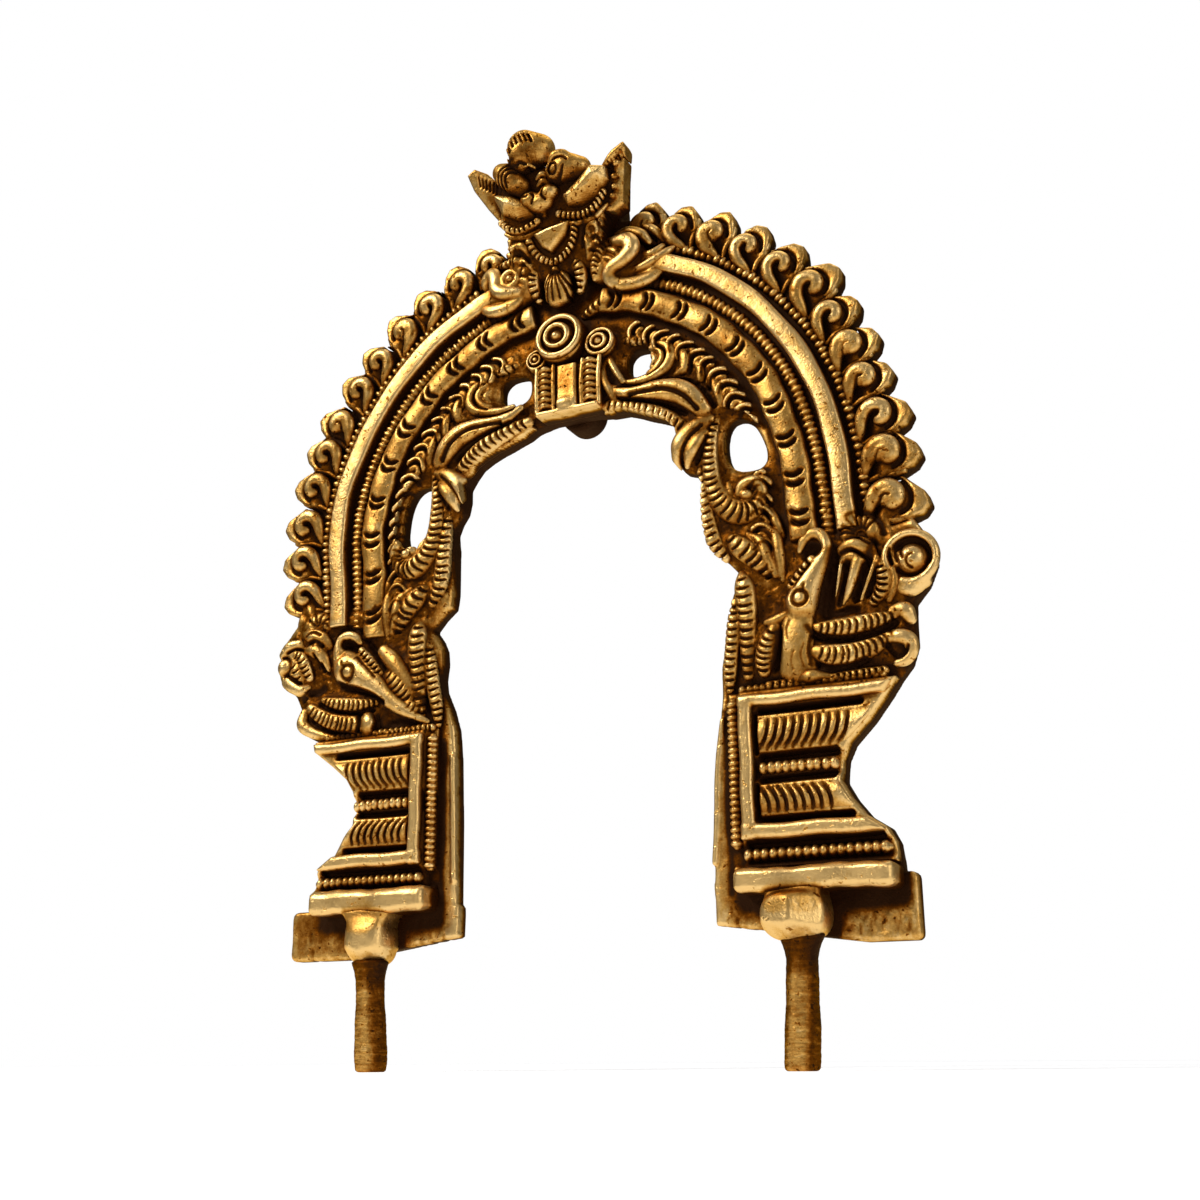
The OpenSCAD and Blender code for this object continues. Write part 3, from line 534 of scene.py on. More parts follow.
def ring_piece(r, w, h, a0, a1, v):
    """Grid round a ribbon of the arch: distance from the middle, run along the ribbon, height."""
    xs, zs = zip(*(at_arch(r + k, a) for k in (-w, w) for a in np.linspace(a0 - 2, a1 + 2, 60)))
    c = Clay((min(xs) - 0.4, min(zs) - 0.4, UNDER), (max(xs) + 0.4, max(zs) + 0.4, h + 0.5), v)
    X, Z, H = c.axes()
    rho = np.where(Z > ARCH, np.hypot(X, Z - ARCH), X)
    run = np.where(Z > ARCH, r * np.arctan2(Z - ARCH, X), Z - ARCH)
    return c, rho, run, H


def band(side, a0, a1=73):
    c, rho, run, H = ring_piece(BAND_R, 1.6, 2.9, a0, a1, 0.17)
    off = rho - BAND_R - (0.10 * np.sin(run * 0.21) + 0.05 * np.sin(run * 0.67 + 1))
    d = np.abs(off) - 1.35 - 0.06 * np.sin(run * 0.43)
    top = 2.35 - 0.10 * off ** 2 + 0.05 * np.sin(run * 0.5 + 2)
    d = np.maximum(d, np.maximum(BAND_R * math.radians(a0) - run, run - BAND_R * math.radians(a1)))
    c.fill(solid(d, H - top, -9.0, 0.0, 0.35))
    one_side("band", c, side, ribbon=True)


def bead_ring(node, side, r, a0, a1, pitch, radii, h=0.7):
    """A wax thread nicked across into short bars."""
    c = ring_piece(r, radii[0], h + radii[2], a0, a1, 0.14)[0]
    c.stroke([at_arch(r, a) for a in np.linspace(a0, a1, 30)], r=0.85 * radii[0], h=0.15, k=0.05)
    n = int(round(r * math.radians(a1 - a0) / pitch))
    for a in np.linspace(a0, a1, n + 1):
        a = a + rng.uniform(-0.15, 0.15)
        m = np.array(at_arch(r + rng.uniform(-0.1, 0.1), a, h))
        k = rng.uniform(0.82, 1.1)
        u = (math.cos(math.radians(a)), math.sin(math.radians(a))) if a > 0 else (1.0, 0.0)
        g = max(radii) + 0.5
        s, X, Z, H = c.part(m - g, m + g)
        du = (X - m[0]) * u[0] + (Z - m[1]) * u[1]
        dt = -(X - m[0]) * u[1] + (Z - m[1]) * u[0]
        e = np.sqrt((du / radii[0]) ** 2 + (dt / (radii[1] * k)) ** 2 + ((H - h) / radii[2]) ** 2)
        c.join((e - 1) * min(radii), 0.1, s)
    one_side(node, c, side, ribbon=True)


def ringed_rod(side, a0):
    # the grid reaches past the rod's end, to where its tail runs out
    c, rho, run, H = ring_piece(ROD_R, 3.4, 3.0, a0, 86.5, 0.16)
    s0, s1 = ROD_R * math.radians(a0), ROD_R * math.radians(80.5)
    off = rho - ROD_R
    d = np.abs(off - 0.1 * np.sin(run * 0.5)) - 1.95 - 0.08 * np.sin(run * 1.3)
    d = np.maximum(d, np.maximum(s0 - run, run - s1))
    c.fill(solid(d, H + 0.14 * off ** 2 - 0.1 * np.sin(run * 0.7), -3.0, 1.95, 0.5))
    # pairs of crescent cuts that bulge towards the legs
    n = int((s1 - s0) / 5.5)
    for i in range(n):
        for o in (-0.65, 0.65):
            s = s0 + (i + 0.6) * ((s1 - s0) / n) + o + rng.uniform(-0.15, 0.15)
            bow = [(33.1 + 1.15 * k, s - 0.6 * (1 - k * k)) for k in np.linspace(-1, 1, 7)]
            pts = [at_arch(r, math.degrees(along / ROD_R)) for r, along in bow]
            c.cut(pts, 0.22, 0.5)
            c.cut(pts[1:6], 0.34, 0.35)
    if side > 0:
        tail = [(33.1, 79, 0.6, 1.3), (32.5, 81.5, 0.6, 1.1), (31.7, 84, 0.5, 0.8), (31.2, 85.6, 0.4, 0.5)]
        c.stroke([at_arch(*p) for p in tail], k=0.2, flat=0.8, rib=(0.9, 0.3))
    one_side("ringed_rod", c, side, ribbon=True)


def vine_cord(side, a0):
    c = ring_piece(VINE_R, 1.8, 2.4, a0 - 1, 71, 0.15)[0]
    c.stroke([at_arch(VINE_R, q) for q in np.linspace(a0 - 0.5, 70, 30)], r=0.95, h=0.1, k=0.1, flat=0.8)

    def across(wide, a, bow, lead):
        row = [(VINE_R + wide * u, a + bow * (1 - u * u) + lead * u) for u in np.linspace(-1, 1, 7)]
        return [at_arch(*q) for q in row]
    a = a0
    while a < 68:
        # a bowed leaf across the cord with a smaller one inside it
        bow, r = rng.uniform(1.3, 2.3), rng.uniform(0.48, 0.66)
        lead = rng.uniform(-0.6, 0.6)
        for k, o, h in ((1.0, 0.0, 1.0), (0.55, -1.5, 0.8)):
            c.stroke(across(1.25 * k, a + o, bow * k, lead), r=r * (0.6 + 0.4 * k), h=h, k=0.08)
        c.cut(across(1.2, a - 0.75, bow, lead), 0.2, 0.5)
        a += rng.uniform(3.9, 5.0)
    one_side("vine_cord", c, side, trim=0.8)


# a flame curl, the fill of a closed one, its slit and the leaf under it: out, along, height, thickness
CURL = [(-2.8, -2.7, 0.7, 0.42), (-2.3, -1.3, 1, 0.8), (-1.8, 0.1, 1.2, 1), (-0.9, 1.1, 1.3, 1.1),
        (0.3, 1.4, 1.4, 1.15), (1.25, 0.8, 1.35, 1.15), (1.45, -0.25, 1.3, 1.12), (0.9, -0.9, 1.2, 1),
        (0.45, -0.85, 1.1, 0.85)]
CURL_FILL = [(-0.9, -0.4, 1.1, 0.9), (0.3, 0.2, 1.3, 1.1), (0.9, 0, 1.2, 1)]
CURL_SLIT = [(-1.3, -2, 0, 0), (-0.75, -0.7, 0, 0), (-0.1, 0.1, 0, 0), (0.6, 0.05, 0, 0)]
CURL_LEAF = [(-2.6, -3.4, 0.4, 0.35), (-0.9, -3, 0.35, 0.55), (0.9, -3.1, 0.35, 0.6), (2.4, -2.8, 0.3, 0.5)]
# how open the hook of each curl is, from a plain drop to a deep slit
HOOKS = {
    1: (0.3, 0, 1, 0.4, 0, 1, 0.6, 1, 0.8, 0.3, 0.5, 0.4),
    -1: (0.8, 0.9, 0.7, 0.5, 0.8, 0.4, 0.9, 0.6, 0.3, 0.7, 0.5, 0.6),
}


def flames(side):
    c = Clay((10, 62, UNDER), (52, 125.5, 3), 0.17)
    for (a, up), hook in zip(FLAMES[side], HOOKS[side]):
        t = math.radians(a)
        u = np.array([math.cos(t), math.sin(t)])
        w = np.array([-u[1], u[0]])
        k = rng.uniform(0.86, 0.96) * (1 + 0.05 * up)
        m = (45.1 + 0.5 * up) * u + (0, ARCH)

        def put(pts):
            return [(*(m + (x * u + z * w) * k), h, r * k) for x, z, h, r in pts]
        c.stroke(put(CURL), k=0.08, flat=0.85)
        if hook < 0.5:
            c.stroke(put(CURL_FILL), k=0.4)
        c.cut(put(CURL_SLIT), 0.12 + 0.15 * hook, 0.25 + 0.45 * hook, ink=0.5 + 0.5 * hook)
        c.stroke(put(CURL_LEAF), k=0.1)
    one_side("flames", c, side)


# Keystone and rosettes

KEY_X = 0.8


def keystone_block():
    c = Clay((-6.4, 88, UNDER), (6.8, 98, 5))
    X, Z, H = c.axes()
    x = X - KEY_X
    c.join(solid(box_sd(x, Z, -5.0, 5.2, 89.6, 97.0, 0.4), H, -2, 2.3, 0.4))
    panel = box_sd(x + 0.03 * (Z - 93), Z, -1.55, 1.55, 90.0, 97.0, 0.25)
    c.join(solid(panel, H - 0.05 * (93 - Z), -2, 3.2, 0.35), 0.1)
    c.join(solid(box_sd(x, Z, -5.0, 5.0, 89.4, 90.2, 0.3), H, -2, 3.3, 0.35), 0.1)
    c.blob((0.5, 90.9, 3.2), (1.3, 0.8, 0.4), 0.2)
    keep("keystone_block", c)


def keystone_columns():
    c = Clay((-6.4, 89, UNDER), (6.8, 98.5, 5), 0.14)
    for s in (-1, 1):
        for x in (2.25, 4.95):
            post = ((x, 90.1, 2.6, 0.35), (x, 93.8, 2.8, 0.36), (x + 0.1, 97.2, 2.5, 0.34))
            c.stroke([(KEY_X + s * q, *rest) for q, *rest in post], k=0.1)
        for i in range(7):
            z = 90.9 + 0.95 * i
            rung = ((2.7, z - 0.1, 2.5, 0.36), (3.6, z + 0.15, 3, 0.42), (4.5, z - 0.1, 2.5, 0.36))
            c.stroke([(KEY_X + s * q, *rest) for q, *rest in rung], k=0.06)
    keep("keystone_columns", c)


def rosette(c, x, z, r, h):
    """A domed disc with two rings round a bead."""
    c.blob((x, z, h - 2.2), (r * 1.03, r * 1.03, 2.5), 0.1)
    s, X, Z, H = c.part((x - r - 0.5, z - r - 0.5, -1), (x + r + 0.5, z + r + 0.5, h + 1))
    c.join(solid(np.hypot(X - x, Z - z) - r * 0.98, H, -2, h - 0.55, 0.35), 0.2, s)

    def loop(k, sway):
        """A ring rolled by hand: not quite round, not quite centred."""
        a = np.linspace(0, 2 * math.pi, 30)
        q = r * k * (1 + 0.05 * np.sin(2 * a + sway)) + 0.04 * r * np.cos(a - sway)
        return list(zip(x + q * np.cos(a), z + q * np.sin(a)))
    c.stroke(loop(0.80, 1.0), r=r * 0.15, h=h - 0.25, k=0.1)
    c.stroke(loop(0.46, 2.4), r=r * 0.14, h=h + 0.05, k=0.1)
    c.blob((x - 0.03 * r, z, h - 0.1), (r * 0.2, r * 0.2, r * 0.25), 0.05)
    c.cut(loop(0.63, 1.0), 0.07 * r, 0.4)
    c.cut(loop(0.28, 2.4), 0.055 * r, 0.35)


def rosettes():
    c = Clay((-5, 97, UNDER), (5, 107, 5.2), 0.15)
    rosette(c, -0.4, 101.2, 3.8, 3.6)
    keep("rosette_centre", c)
    c = Clay((-8.2, 96.4, UNDER), (8.4, 102, 4), 0.14)
    rosette(c, -4.6, 98.9, 1.75, 2.4)
    rosette(c, 5.7, 99.5, 2.35, 2.6)
    keep("rosettes_side", c)


# Scrolls

def scroll_leaf(side):
    c = Clay((4.6, 77.3, UNDER), (24.6, 101.4, 4.2), 0.17, fat=1.1)
    # long leaf from the keystone to the shoulder, split down its middle
    c.stroke([(7.4, 92.2, 1.6, 0.5), (9.4, 90.9, 2, 0.8), (12, 90.3, 2.1, 1.15), (15, 90.2, 2, 1.5),
              (17.8, 89.5, 1.8, 1.7), (19.8, 88, 1.6, 1.65), (20.9, 86.5, 1.3, 1.3)], k=0.2, flat=0.7)
    c.cut([(10.4, 90.2), (13, 90.1), (16, 89.8), (18.6, 88.4), (20.4, 86.2)], 0.3, 0.8, ink=1.2)
    c.cut([(8.6, 92.1), (11.4, 91.6), (14.6, 91.8), (18, 91.4), (20.6, 89.6), (22.4, 86.6)],
          0.26, 0.5, ink=1.2)
    # ribbed strip along the opening
    c.stroke([(6.2, 89.9, 1.2, 0.7), (9, 89, 1.5, 1), (12.2, 87.8, 1.6, 1.2), (15.2, 86.3, 1.4, 1.15),
              (18, 84.4, 1, 0.8)], k=0.2, flat=0.8, rib=(1, 0.4))
    c.cut([(9, 90), (12.4, 89), (15.6, 87.9), (18.4, 86.2)], 0.24, 0.5, ink=1.2)
    c.stroke([(6.4, 88.9, 0.3, 0.8), (10, 88, 0.3, 0.9), (14, 86.2, 0.3, 1), (17.6, 83.8, 0.2, 0.8)])
    # smooth lobe at the shoulder of the opening with a leaf folded over it
    c.stroke([(21.8, 84.8, 0.8, 0.7), (19.6, 83.8, 1.1, 1.2), (17.9, 82, 1.2, 1.45), (17, 80, 0.9, 1.1),
              (16.8, 78.8, 0.5, 0.6)], k=0.3, flat=0.8)
    c.stroke([(21.2, 83, 1, 0.5), (20, 81.6, 1.4, 0.85), (18.9, 80, 1.3, 0.8), (18.3, 78.6, 0.9, 0.4)],
             k=0.15, flat=0.8)
    c.cut([(20.8, 83.9), (19.2, 82.4), (18, 80.6), (17.5, 79)], 0.2, 0.5)
    c.cut([(21.6, 82), (20.6, 80.4), (19.6, 78.8)], 0.2, 0.4)
    # leaf of three nested arcs round the upper hole
    c.stroke([(13.2, 98.2, 0.6, 0.4), (15.4, 97.4, 1, 0.65), (16.3, 95.6, 1.2, 0.8),
              (15.5, 93.8, 1.3, 0.85), (13.4, 92.8, 1.3, 0.75), (11, 92.6, 1.2, 0.55), (9, 93, 1, 0.35)],
             k=0.15, flat=0.8)
    c.stroke([(13, 97.6, 0.5, 0.4), (14.6, 96.8, 0.9, 0.6), (15, 95.4, 1, 0.6), (14.2, 94.2, 1, 0.6),
              (12.8, 93.6, 0.9, 0.4)], k=0.1)
    c.stroke([(13.1, 96.6, 0.5, 0.35), (13.8, 95.6, 0.8, 0.5), (13.2, 94.6, 0.7, 0.35)], k=0.1)
    c.cut([(14, 97.6), (15.4, 96.4), (15.5, 95), (14.6, 93.8), (13, 93.1)], 0.16, 0.4)
    # small leaves that fill between the hole, the long leaf and the vine
    c.stroke([(17.2, 96.2, 0.6, 0.45), (18.4, 95, 1, 0.85), (18.4, 93.2, 1, 0.85), (17, 92.5, 0.9, 0.45)],
             k=0.1, flat=0.8)
    c.stroke([(19.6, 94.2, 0.6, 0.45), (20.7, 92.6, 0.9, 0.75), (20.6, 91, 0.9, 0.6)], k=0.1, flat=0.8)
    c.stroke([(21.8, 91.6, 0.6, 0.45), (22.8, 89.6, 0.9, 0.7), (23.3, 87.6, 0.9, 0.6),
              (23.4, 86.2, 0.6, 0.35)], k=0.1, flat=0.8)
    c.cut([(18.9, 96), (19.4, 94.2), (19, 92.4)], 0.2, 0.4)
    c.cut([(21.2, 93.2), (21.7, 91.2), (21.9, 89.2)], 0.2, 0.4)
    c.stroke([(8.6, 99.6, 0.5, 0.4), (10.4, 99.3, 0.8, 0.7), (12.2, 98.9, 0.7, 0.45)], rib=(0.8, 0.3))
    if side > 0:
        # threads that run up from the keystone beside the hole
        c.stroke([(8, 89.8, 1.4, 0.4), (7.2, 91.6, 1.9, 0.55), (6.3, 93.6, 2, 0.55),
                  (6.1, 95.6, 1.7, 0.45), (6.6, 97.4, 1.2, 0.35)])
        c.stroke([(9, 92.9, 1.4, 0.4), (8, 94.6, 1.5, 0.5), (7.2, 96.2, 1.4, 0.5), (6.8, 97.6, 1.1, 0.35)])
    one_side("scroll_leaf", c, side, trim=0.25)


def volute():
    c = Clay((20.2, 59.6, UNDER), (31.8, 86.2, 3.6), 0.16, fat=1.3)
    # ribbed crescent down the inner side of the slot, widest at its foot
    c.stroke([(22.6, 84.8, 0.4, 0.45), (21.9, 82, 0.8, 0.7), (21.7, 78.6, 1, 0.85), (22, 75.2, 1, 1.05),
              (23.1, 72.4, 1, 1.3), (25.2, 70.6, 1, 1.45), (27.3, 70.7, 1, 1.15), (28.4, 72.2, 1, 0.8),
              (28, 73.6, 1, 0.6)], flat=0.7, rib=(1, 0.45))
    # coil and bud inside it
    c.stroke([(28.3, 71.6, 1.1, 0.55), (28.9, 73, 1.2, 0.6), (28, 74.5, 1.3, 0.62),
              (26.3, 74.2, 1.3, 0.6), (25.6, 73, 1.3, 0.45)])
    c.blob((26.7, 72.7, 1.3), (0.95, 0.8, 0.9))
    c.stroke([(24, 75, 0.6, 0.35), (24.4, 73.4, 0.9, 0.5), (25, 72, 0.9, 0.4)])
    # leaf under the coil: four ribs and two long smooth strands
    c.stroke([(23.6, 67.6, 0.4, 0.5), (25, 66, 0.9, 1.15), (26.6, 64.4, 1, 1.2), (28, 62.6, 0.8, 0.9),
              (29, 61, 0.4, 0.35)], flat=0.7, rib=(1.15, 0.45))
    c.stroke([(26.2, 67.4, 0.7, 0.4), (28, 66, 1, 0.62), (28.7, 63.8, 1.1, 0.68), (29.6, 61.2, 0.8, 0.4)])
    c.stroke([(28, 68, 0.6, 0.35), (30, 66.6, 0.9, 0.6), (30.4, 63.6, 1, 0.62), (30.4, 60.4, 0.7, 0.35)])
    c.stroke([(29.6, 70.4, 0.4, 0.35), (30.2, 68.6, 0.7, 0.5), (31, 66.4, 0.6, 0.3)])
    both("volute", c, trim=0.25)


def rib_strips():
    c = Clay((17.6, 44.4, UNDER), (30.4, 80, 3.2), 0.16, fat=1.3)
    c.stroke([(20, 77.8, 0.4, 0.4), (20.3, 75.4, 0.6, 0.8), (20.6, 72.2, 0.8, 0.95),
              (20.9, 69.4, 0.8, 1), (21.6, 66.8, 0.7, 0.9), (22.8, 64.8, 0.5, 0.6)],
             flat=0.75, rib=(1.05, 0.42))
    c.stroke([(24.9, 62, 0.4, 0.55), (25.2, 60.2, 0.8, 1.1), (25.3, 57.4, 1, 1.15),
              (25.2, 54.2, 0.9, 0.95), (25, 51.2, 0.8, 0.85), (24.8, 48.4, 0.6, 0.6)],
             flat=0.75, rib=(1.05, 0.42))
    c.stroke([(23.5, 58.6, 0.3, 0.4), (23.2, 55.6, 0.6, 0.75), (22.8, 52.4, 0.7, 0.8),
              (22.3, 49.4, 0.6, 0.75), (22.1, 46.8, 0.4, 0.4)], flat=0.75, rib=(0.95, 0.42))
    both("rib_strips", c, trim=0.25)


# Lion mask

def mask_face(z):
    """Height of the sloping face of the mask."""
    return MASK_H + (z - MASK_Z) * SLOPE


def above_mask(Z, H):
    """Distance out from the sloping face of the mask."""
    return (H - MASK_H - (Z - MASK_Z) * SLOPE) * math.cos(TILT)


def mask_core():
    c = Clay((-9.6, 110.4, UNDER), (9.6, 129.5, 12.5), 0.2, sloped=True)
    X, Z, H = c.axes()
    chin = [(-8.3, 111.6), (6.4, 111.6), (7.6, 118.2), (-8.2, 118.2)]
    brow = [(-7.8, 117.8), (7.8, 117.8), (8.6, 120.5), (8, 123.8), (5, 126.2), (-5, 126.2), (-8, 123.8),
            (-8.6, 120.5)]
    d = np.minimum(poly_sd(chin, X, Z), poly_sd(brow, np.abs(X), Z))
    back = np.where(Z > 122, 1.2 * (Z - 122) * SLOPE, -0.4)
    c.fill(np.maximum(solid(d, above_mask(Z, H), -40, -0.2, 0.8), back - H))
    # folds of the neck beside the chin
    c.stroke([(-6.6, 116.8, -0.3, 0.5), (-5.4, 116.4, -0.1, 0.7), (-5, 115.2, -0.2, 0.5)], k=0.3)
    c.stroke([(-6.4, 114.6, -0.3, 0.4), (-5.2, 114.2, -0.1, 0.55), (-4.4, 112.9, -0.2, 0.4)], k=0.3)
    c.stroke(arc(5.9, 116.3, 0.8, 0, 360, 16, -0.1, 0.3), k=0.2)
    c.stroke([(4.6, 115.6, -0.3, 0.4), (5, 114.2, -0.1, 0.6), (4.6, 112.8, -0.2, 0.45)], k=0.3)
    c.cut([(-6.6, 115.6), (-5.6, 115.4), (-4.8, 114)], 0.22, 0.4)
    c.cut([(5, 117.4), (4.4, 116.2), (3.9, 114.6)], 0.22, 0.4)
    for x, z in ((-7.4, 116.6), (-7.2, 115), (-6.2, 113.2), (6.6, 117.2), (6.4, 114.6), (5.6, 112.8)):
        lie = 1 if x > 0 else -1
        c.blob((x, z, -0.2), (0.7, 0.5, 0.45), 0.3)
        c.cut([(x - 0.6, z + 0.7 * lie), (x, z + 0.8), (x + 0.6, z - 0.7 * lie)], 0.15, 0.3)
    keep("mask_core", c)


def mask_crest():
    """An egg with a combed edge and two folds under it."""
    c = Clay((-6.4, 122, 3.6), (4.4, 133, 15.2), 0.15, sloped=True)
    c.blob((-2.6, 128.7, -0.6), (2.75, 3.4, 2.6), 0.1)
    c.blob((-1, 128.8, -1.4), (2.9, 2.6, 2.4), 0.8)
    for i in range(7):
        q = i / 6.0
        x, z = -4.9 + 4.0 * q, 128.2 + 1.7 * math.sin(2.0 * q)
        c.cut([(x - 0.45, z + 0.8), (x, z), (x + 0.35, z - 0.8)], 0.2, 0.6)
    c.stroke([(-3.4, 126.2, 1.1, 0.25), (-2.6, 126.5, 1.6, 0.36), (-1.8, 126.2, 1.5, 0.25)], k=0.15)
    c.stroke([(-2.4, 125.5, 1.2, 0.25), (-1.5, 125.7, 1.6, 0.34), (-0.7, 125.3, 1.2, 0.25)], k=0.15)
    c.cut([(-3.3, 125.9), (-2.5, 126.1), (-1.7, 125.8)], 0.16, 0.3)
    c.cut([(-2.2, 125.2), (-1.4, 125.3), (-0.8, 125)], 0.16, 0.3)
    keep("mask_crest", c, None)


def mask_eyes():
    c = Clay((-9.4, 120.6, 3), (9.4, 129.8, 13.6), 0.15, sloped=True)
    # left eye: a slanting bead with heavy folds over the ball
    c.stroke([(-6.6, 126.6, -0.3, 1.5), (-5.3, 125.5, 0.1, 2), (-3.8, 124, 0, 1.5)], k=0.3)
    for k in (1.45, 2.15, 2.85):
        c.cut(arc(-4, 123.9, k, 78, 185, 10), 0.18, 0.45)
    c.blob((-4.2, 124, 1.3), (1, 0.85, 0.75), 0.15)
    # right eye: a drop with a raised brow and two lids
    c.stroke([(2.2, 124.2, 0, 1.6), (3.6, 124.9, 0, 2.1), (5.6, 124.7, -0.6, 1.7)], k=0.4)
    c.stroke([(1.7, 125.6, 0.9, 0.4), (2.6, 126.4, 0.9, 0.6), (4, 126.4, 0.7, 0.6),
              (4.9, 125.6, 0.5, 0.4)], k=0.35)
    c.cut([(2, 125.2), (2.8, 125.7), (3.9, 125.7), (4.6, 125.1)], 0.2, 0.4)
    c.stroke(arc(2.3, 124.3, (1.05, 0.95), 0, 360, 18, 1.5, 0.22), k=0.15)
    c.cut(arc(2.3, 124.3, 0.72, 0, 360, 14), 0.13, 0.3)
    c.blob((2.3, 124.3, 1.5), (0.55, 0.5, 0.5), 0.1)
    c.cut([(1.2, 123.2), (2.3, 122.8), (3.5, 123.3), (4.1, 124.2)], 0.15, 0.3)
    c.blob((-6.3, 124.2, -1.6), (1.6, 2, 1.6), 0.6)
    keep("mask_eyes", c, None)


def mask_ears():
    c = Clay((-14.4, 116.4, 0.4), (15.4, 130.4, 11.6), 0.17, sloped=True)
    X, Z, H = c.axes()
    face = above_mask(Z, H)
    wing = [(7.9, 118.6), (9.6, 118.2), (11.2, 118.8), (12, 122.2), (13.1, 125.9), (12.8, 126.7),
            (10.8, 125.6), (8.9, 124.3), (7.9, 123.4)]
    leaf = [(-7.6, 118.4), (-9, 121), (-10.6, 123.2), (-12.4, 126.2), (-13, 128.4), (-11.6, 129),
            (-9.6, 127.9), (-7.4, 125.4)]
    d = np.minimum(poly_sd(wing, X, Z), poly_sd(leaf, X, Z))
    c.fill(solid(d, face + np.where(X > 0, 0.55, 1.2), -2.6, 0, 0.4))
    for i in range(6):
        q = (i + 0.5) / 7.0
        c.cut([(9.0 + 3.9 * q, 124.6 + 2.1 * q), (9.9 + 3.2 * q, 123.2 + 1.9 * q)], 0.17, 0.45)
        c.cut([(-7.9 - 4.2 * q, 125.9 + 2.6 * q), (-8.4 - 3.5 * q, 124.7 + 2.2 * q)], 0.17, 0.4)
    c.stroke([(9.2, 123.8, -0.5, 0.4), (11, 125, -0.4, 0.6), (12.6, 126, -0.5, 0.35)], k=0.3)
    c.cut([(10.2, 123.3), (10.7, 122.8), (11, 122.3)], 0.26, 0.4)
    c.cut([(9.9, 121.6), (9.9, 120.9), (9.5, 120.2)], 0.18, 0.3)
    for x, z in ((10.7, 122.4), (10.4, 121.1), (9.9, 120), (11.3, 124)):
        c.blob((x, z, -0.5), (0.55, 0.5, 0.5), 0.2)
    keep("mask_ears", c, None)


def mask_cheeks():
    c = Clay((-10, 118.2, 2.6), (11.2, 126.4, 11.8), 0.16)
    X, Z, H = c.axes()
    face = above_mask(Z, H)
    right = [(2.7, 121.2), (3.2, 120.2), (5.1, 119.9), (7.8, 120.5), (9.5, 122.2), (9.5, 123.5),
             (7.6, 124), (6.2, 123.2)]
    left = [(-8.2, 123.5), (-7.4, 121.3), (-5.1, 120), (-2.9, 120), (-3, 121.5), (-5.5, 122.9)]
    d = np.minimum(poly_sd(right, X, Z), poly_sd(left, X, Z)) - 0.4
    c.fill(solid(d, face - 0.5 * np.clip(-d, 0, 1.5), -1.6, 0.5, 0.8))
    keep("mask_cheeks", c, None)


def mask_nose():
    c = Clay((-4.4, 118.4, 3), (3, 126, 12.2), 0.15, sloped=True)
    c.blob((-1.1, 121.2, 0.2), (2.1, 1.5, 1.5), 0.1)
    c.blob((-2.7, 121.9, 0.4), (1.5, 1.2, 1.2), 0.5)
    c.blob((0.6, 122.2, 0.4), (1.5, 1.2, 1.2), 0.5)
    c.stroke([(-1, 119.6, 0, 0.45), (-0.9, 120.6, 0.6, 0.7)], k=0.3)
    for z in (123.3, 124.2):
        c.stroke([(-0.9, z, 0.6, 0.3), (0.1, z + 0.3, 0.9, 0.42), (0.9, z, 0.6, 0.3)], k=0.2)
    c.cut([(-2, 122.4), (-1.7, 121.6), (-2.1, 120.8)], 0.15, 0.35)
    c.cut([(0, 122.6), (-0.4, 121.8), (0.1, 120.9)], 0.15, 0.35)
    c.cut([(-3.6, 122.2), (-3, 121.9), (-2.5, 122.1)], 0.12, 0.2)
    keep("mask_nose", c, None)


def mask_tongue():
    c = Clay((-6.8, 112.6, 1.5), (6, 119.6, 8.2), 0.15)
    X, Z, H = c.axes()
    face = above_mask(Z, H)
    d = poly_sd([(-3.3, 117.4), (2.9, 118), (1.9, 116.2), (-0.8, 114.4), (-2.2, 115.4)], X, Z)
    c.join(solid(d, face - 0.1 * (2.0 - X * X * 0.3), -1.6, 0.8, 0.6))
    keep("mask_tongue", c, None)


def mask_beads():
    c = Clay((-10.2, 112, 1.4), (10.2, 121.4, 9.6), 0.14, sloped=True)
    lip = [(-4.2, 116.6), (-3.7, 115.3), (-2.4, 113.9), (-0.6, 113.3), (1.4, 114), (2.8, 115.5),
           (3.5, 117.3)]
    right = [(1.4, 119.2), (3, 118.7), (5.2, 118.4), (7.2, 119), (8.8, 120.4)]
    left = [(-2.2, 119), (-3.6, 118.6), (-5.4, 118.4), (-7, 119), (-8, 120)]
    for row in (lip, right, left):
        c.stroke([(x, z, 0.2, 0.6) for x, z in row], rib=(0.74, 0.4), k=0.06)
    c.stroke([(1.4, 118.2, -0.1, 0.35), (4.2, 117.5, 0, 0.45), (6.8, 117.9, -0.2, 0.45),
              (8.8, 119.2, -0.5, 0.3)], k=0.1)
    c.stroke([(-2.2, 118, -0.1, 0.35), (-4.4, 117.5, 0, 0.45), (-6.6, 117.9, -0.2, 0.45),
              (-8, 118.8, -0.5, 0.3)], k=0.1)
    keep("mask_beads", c, None)


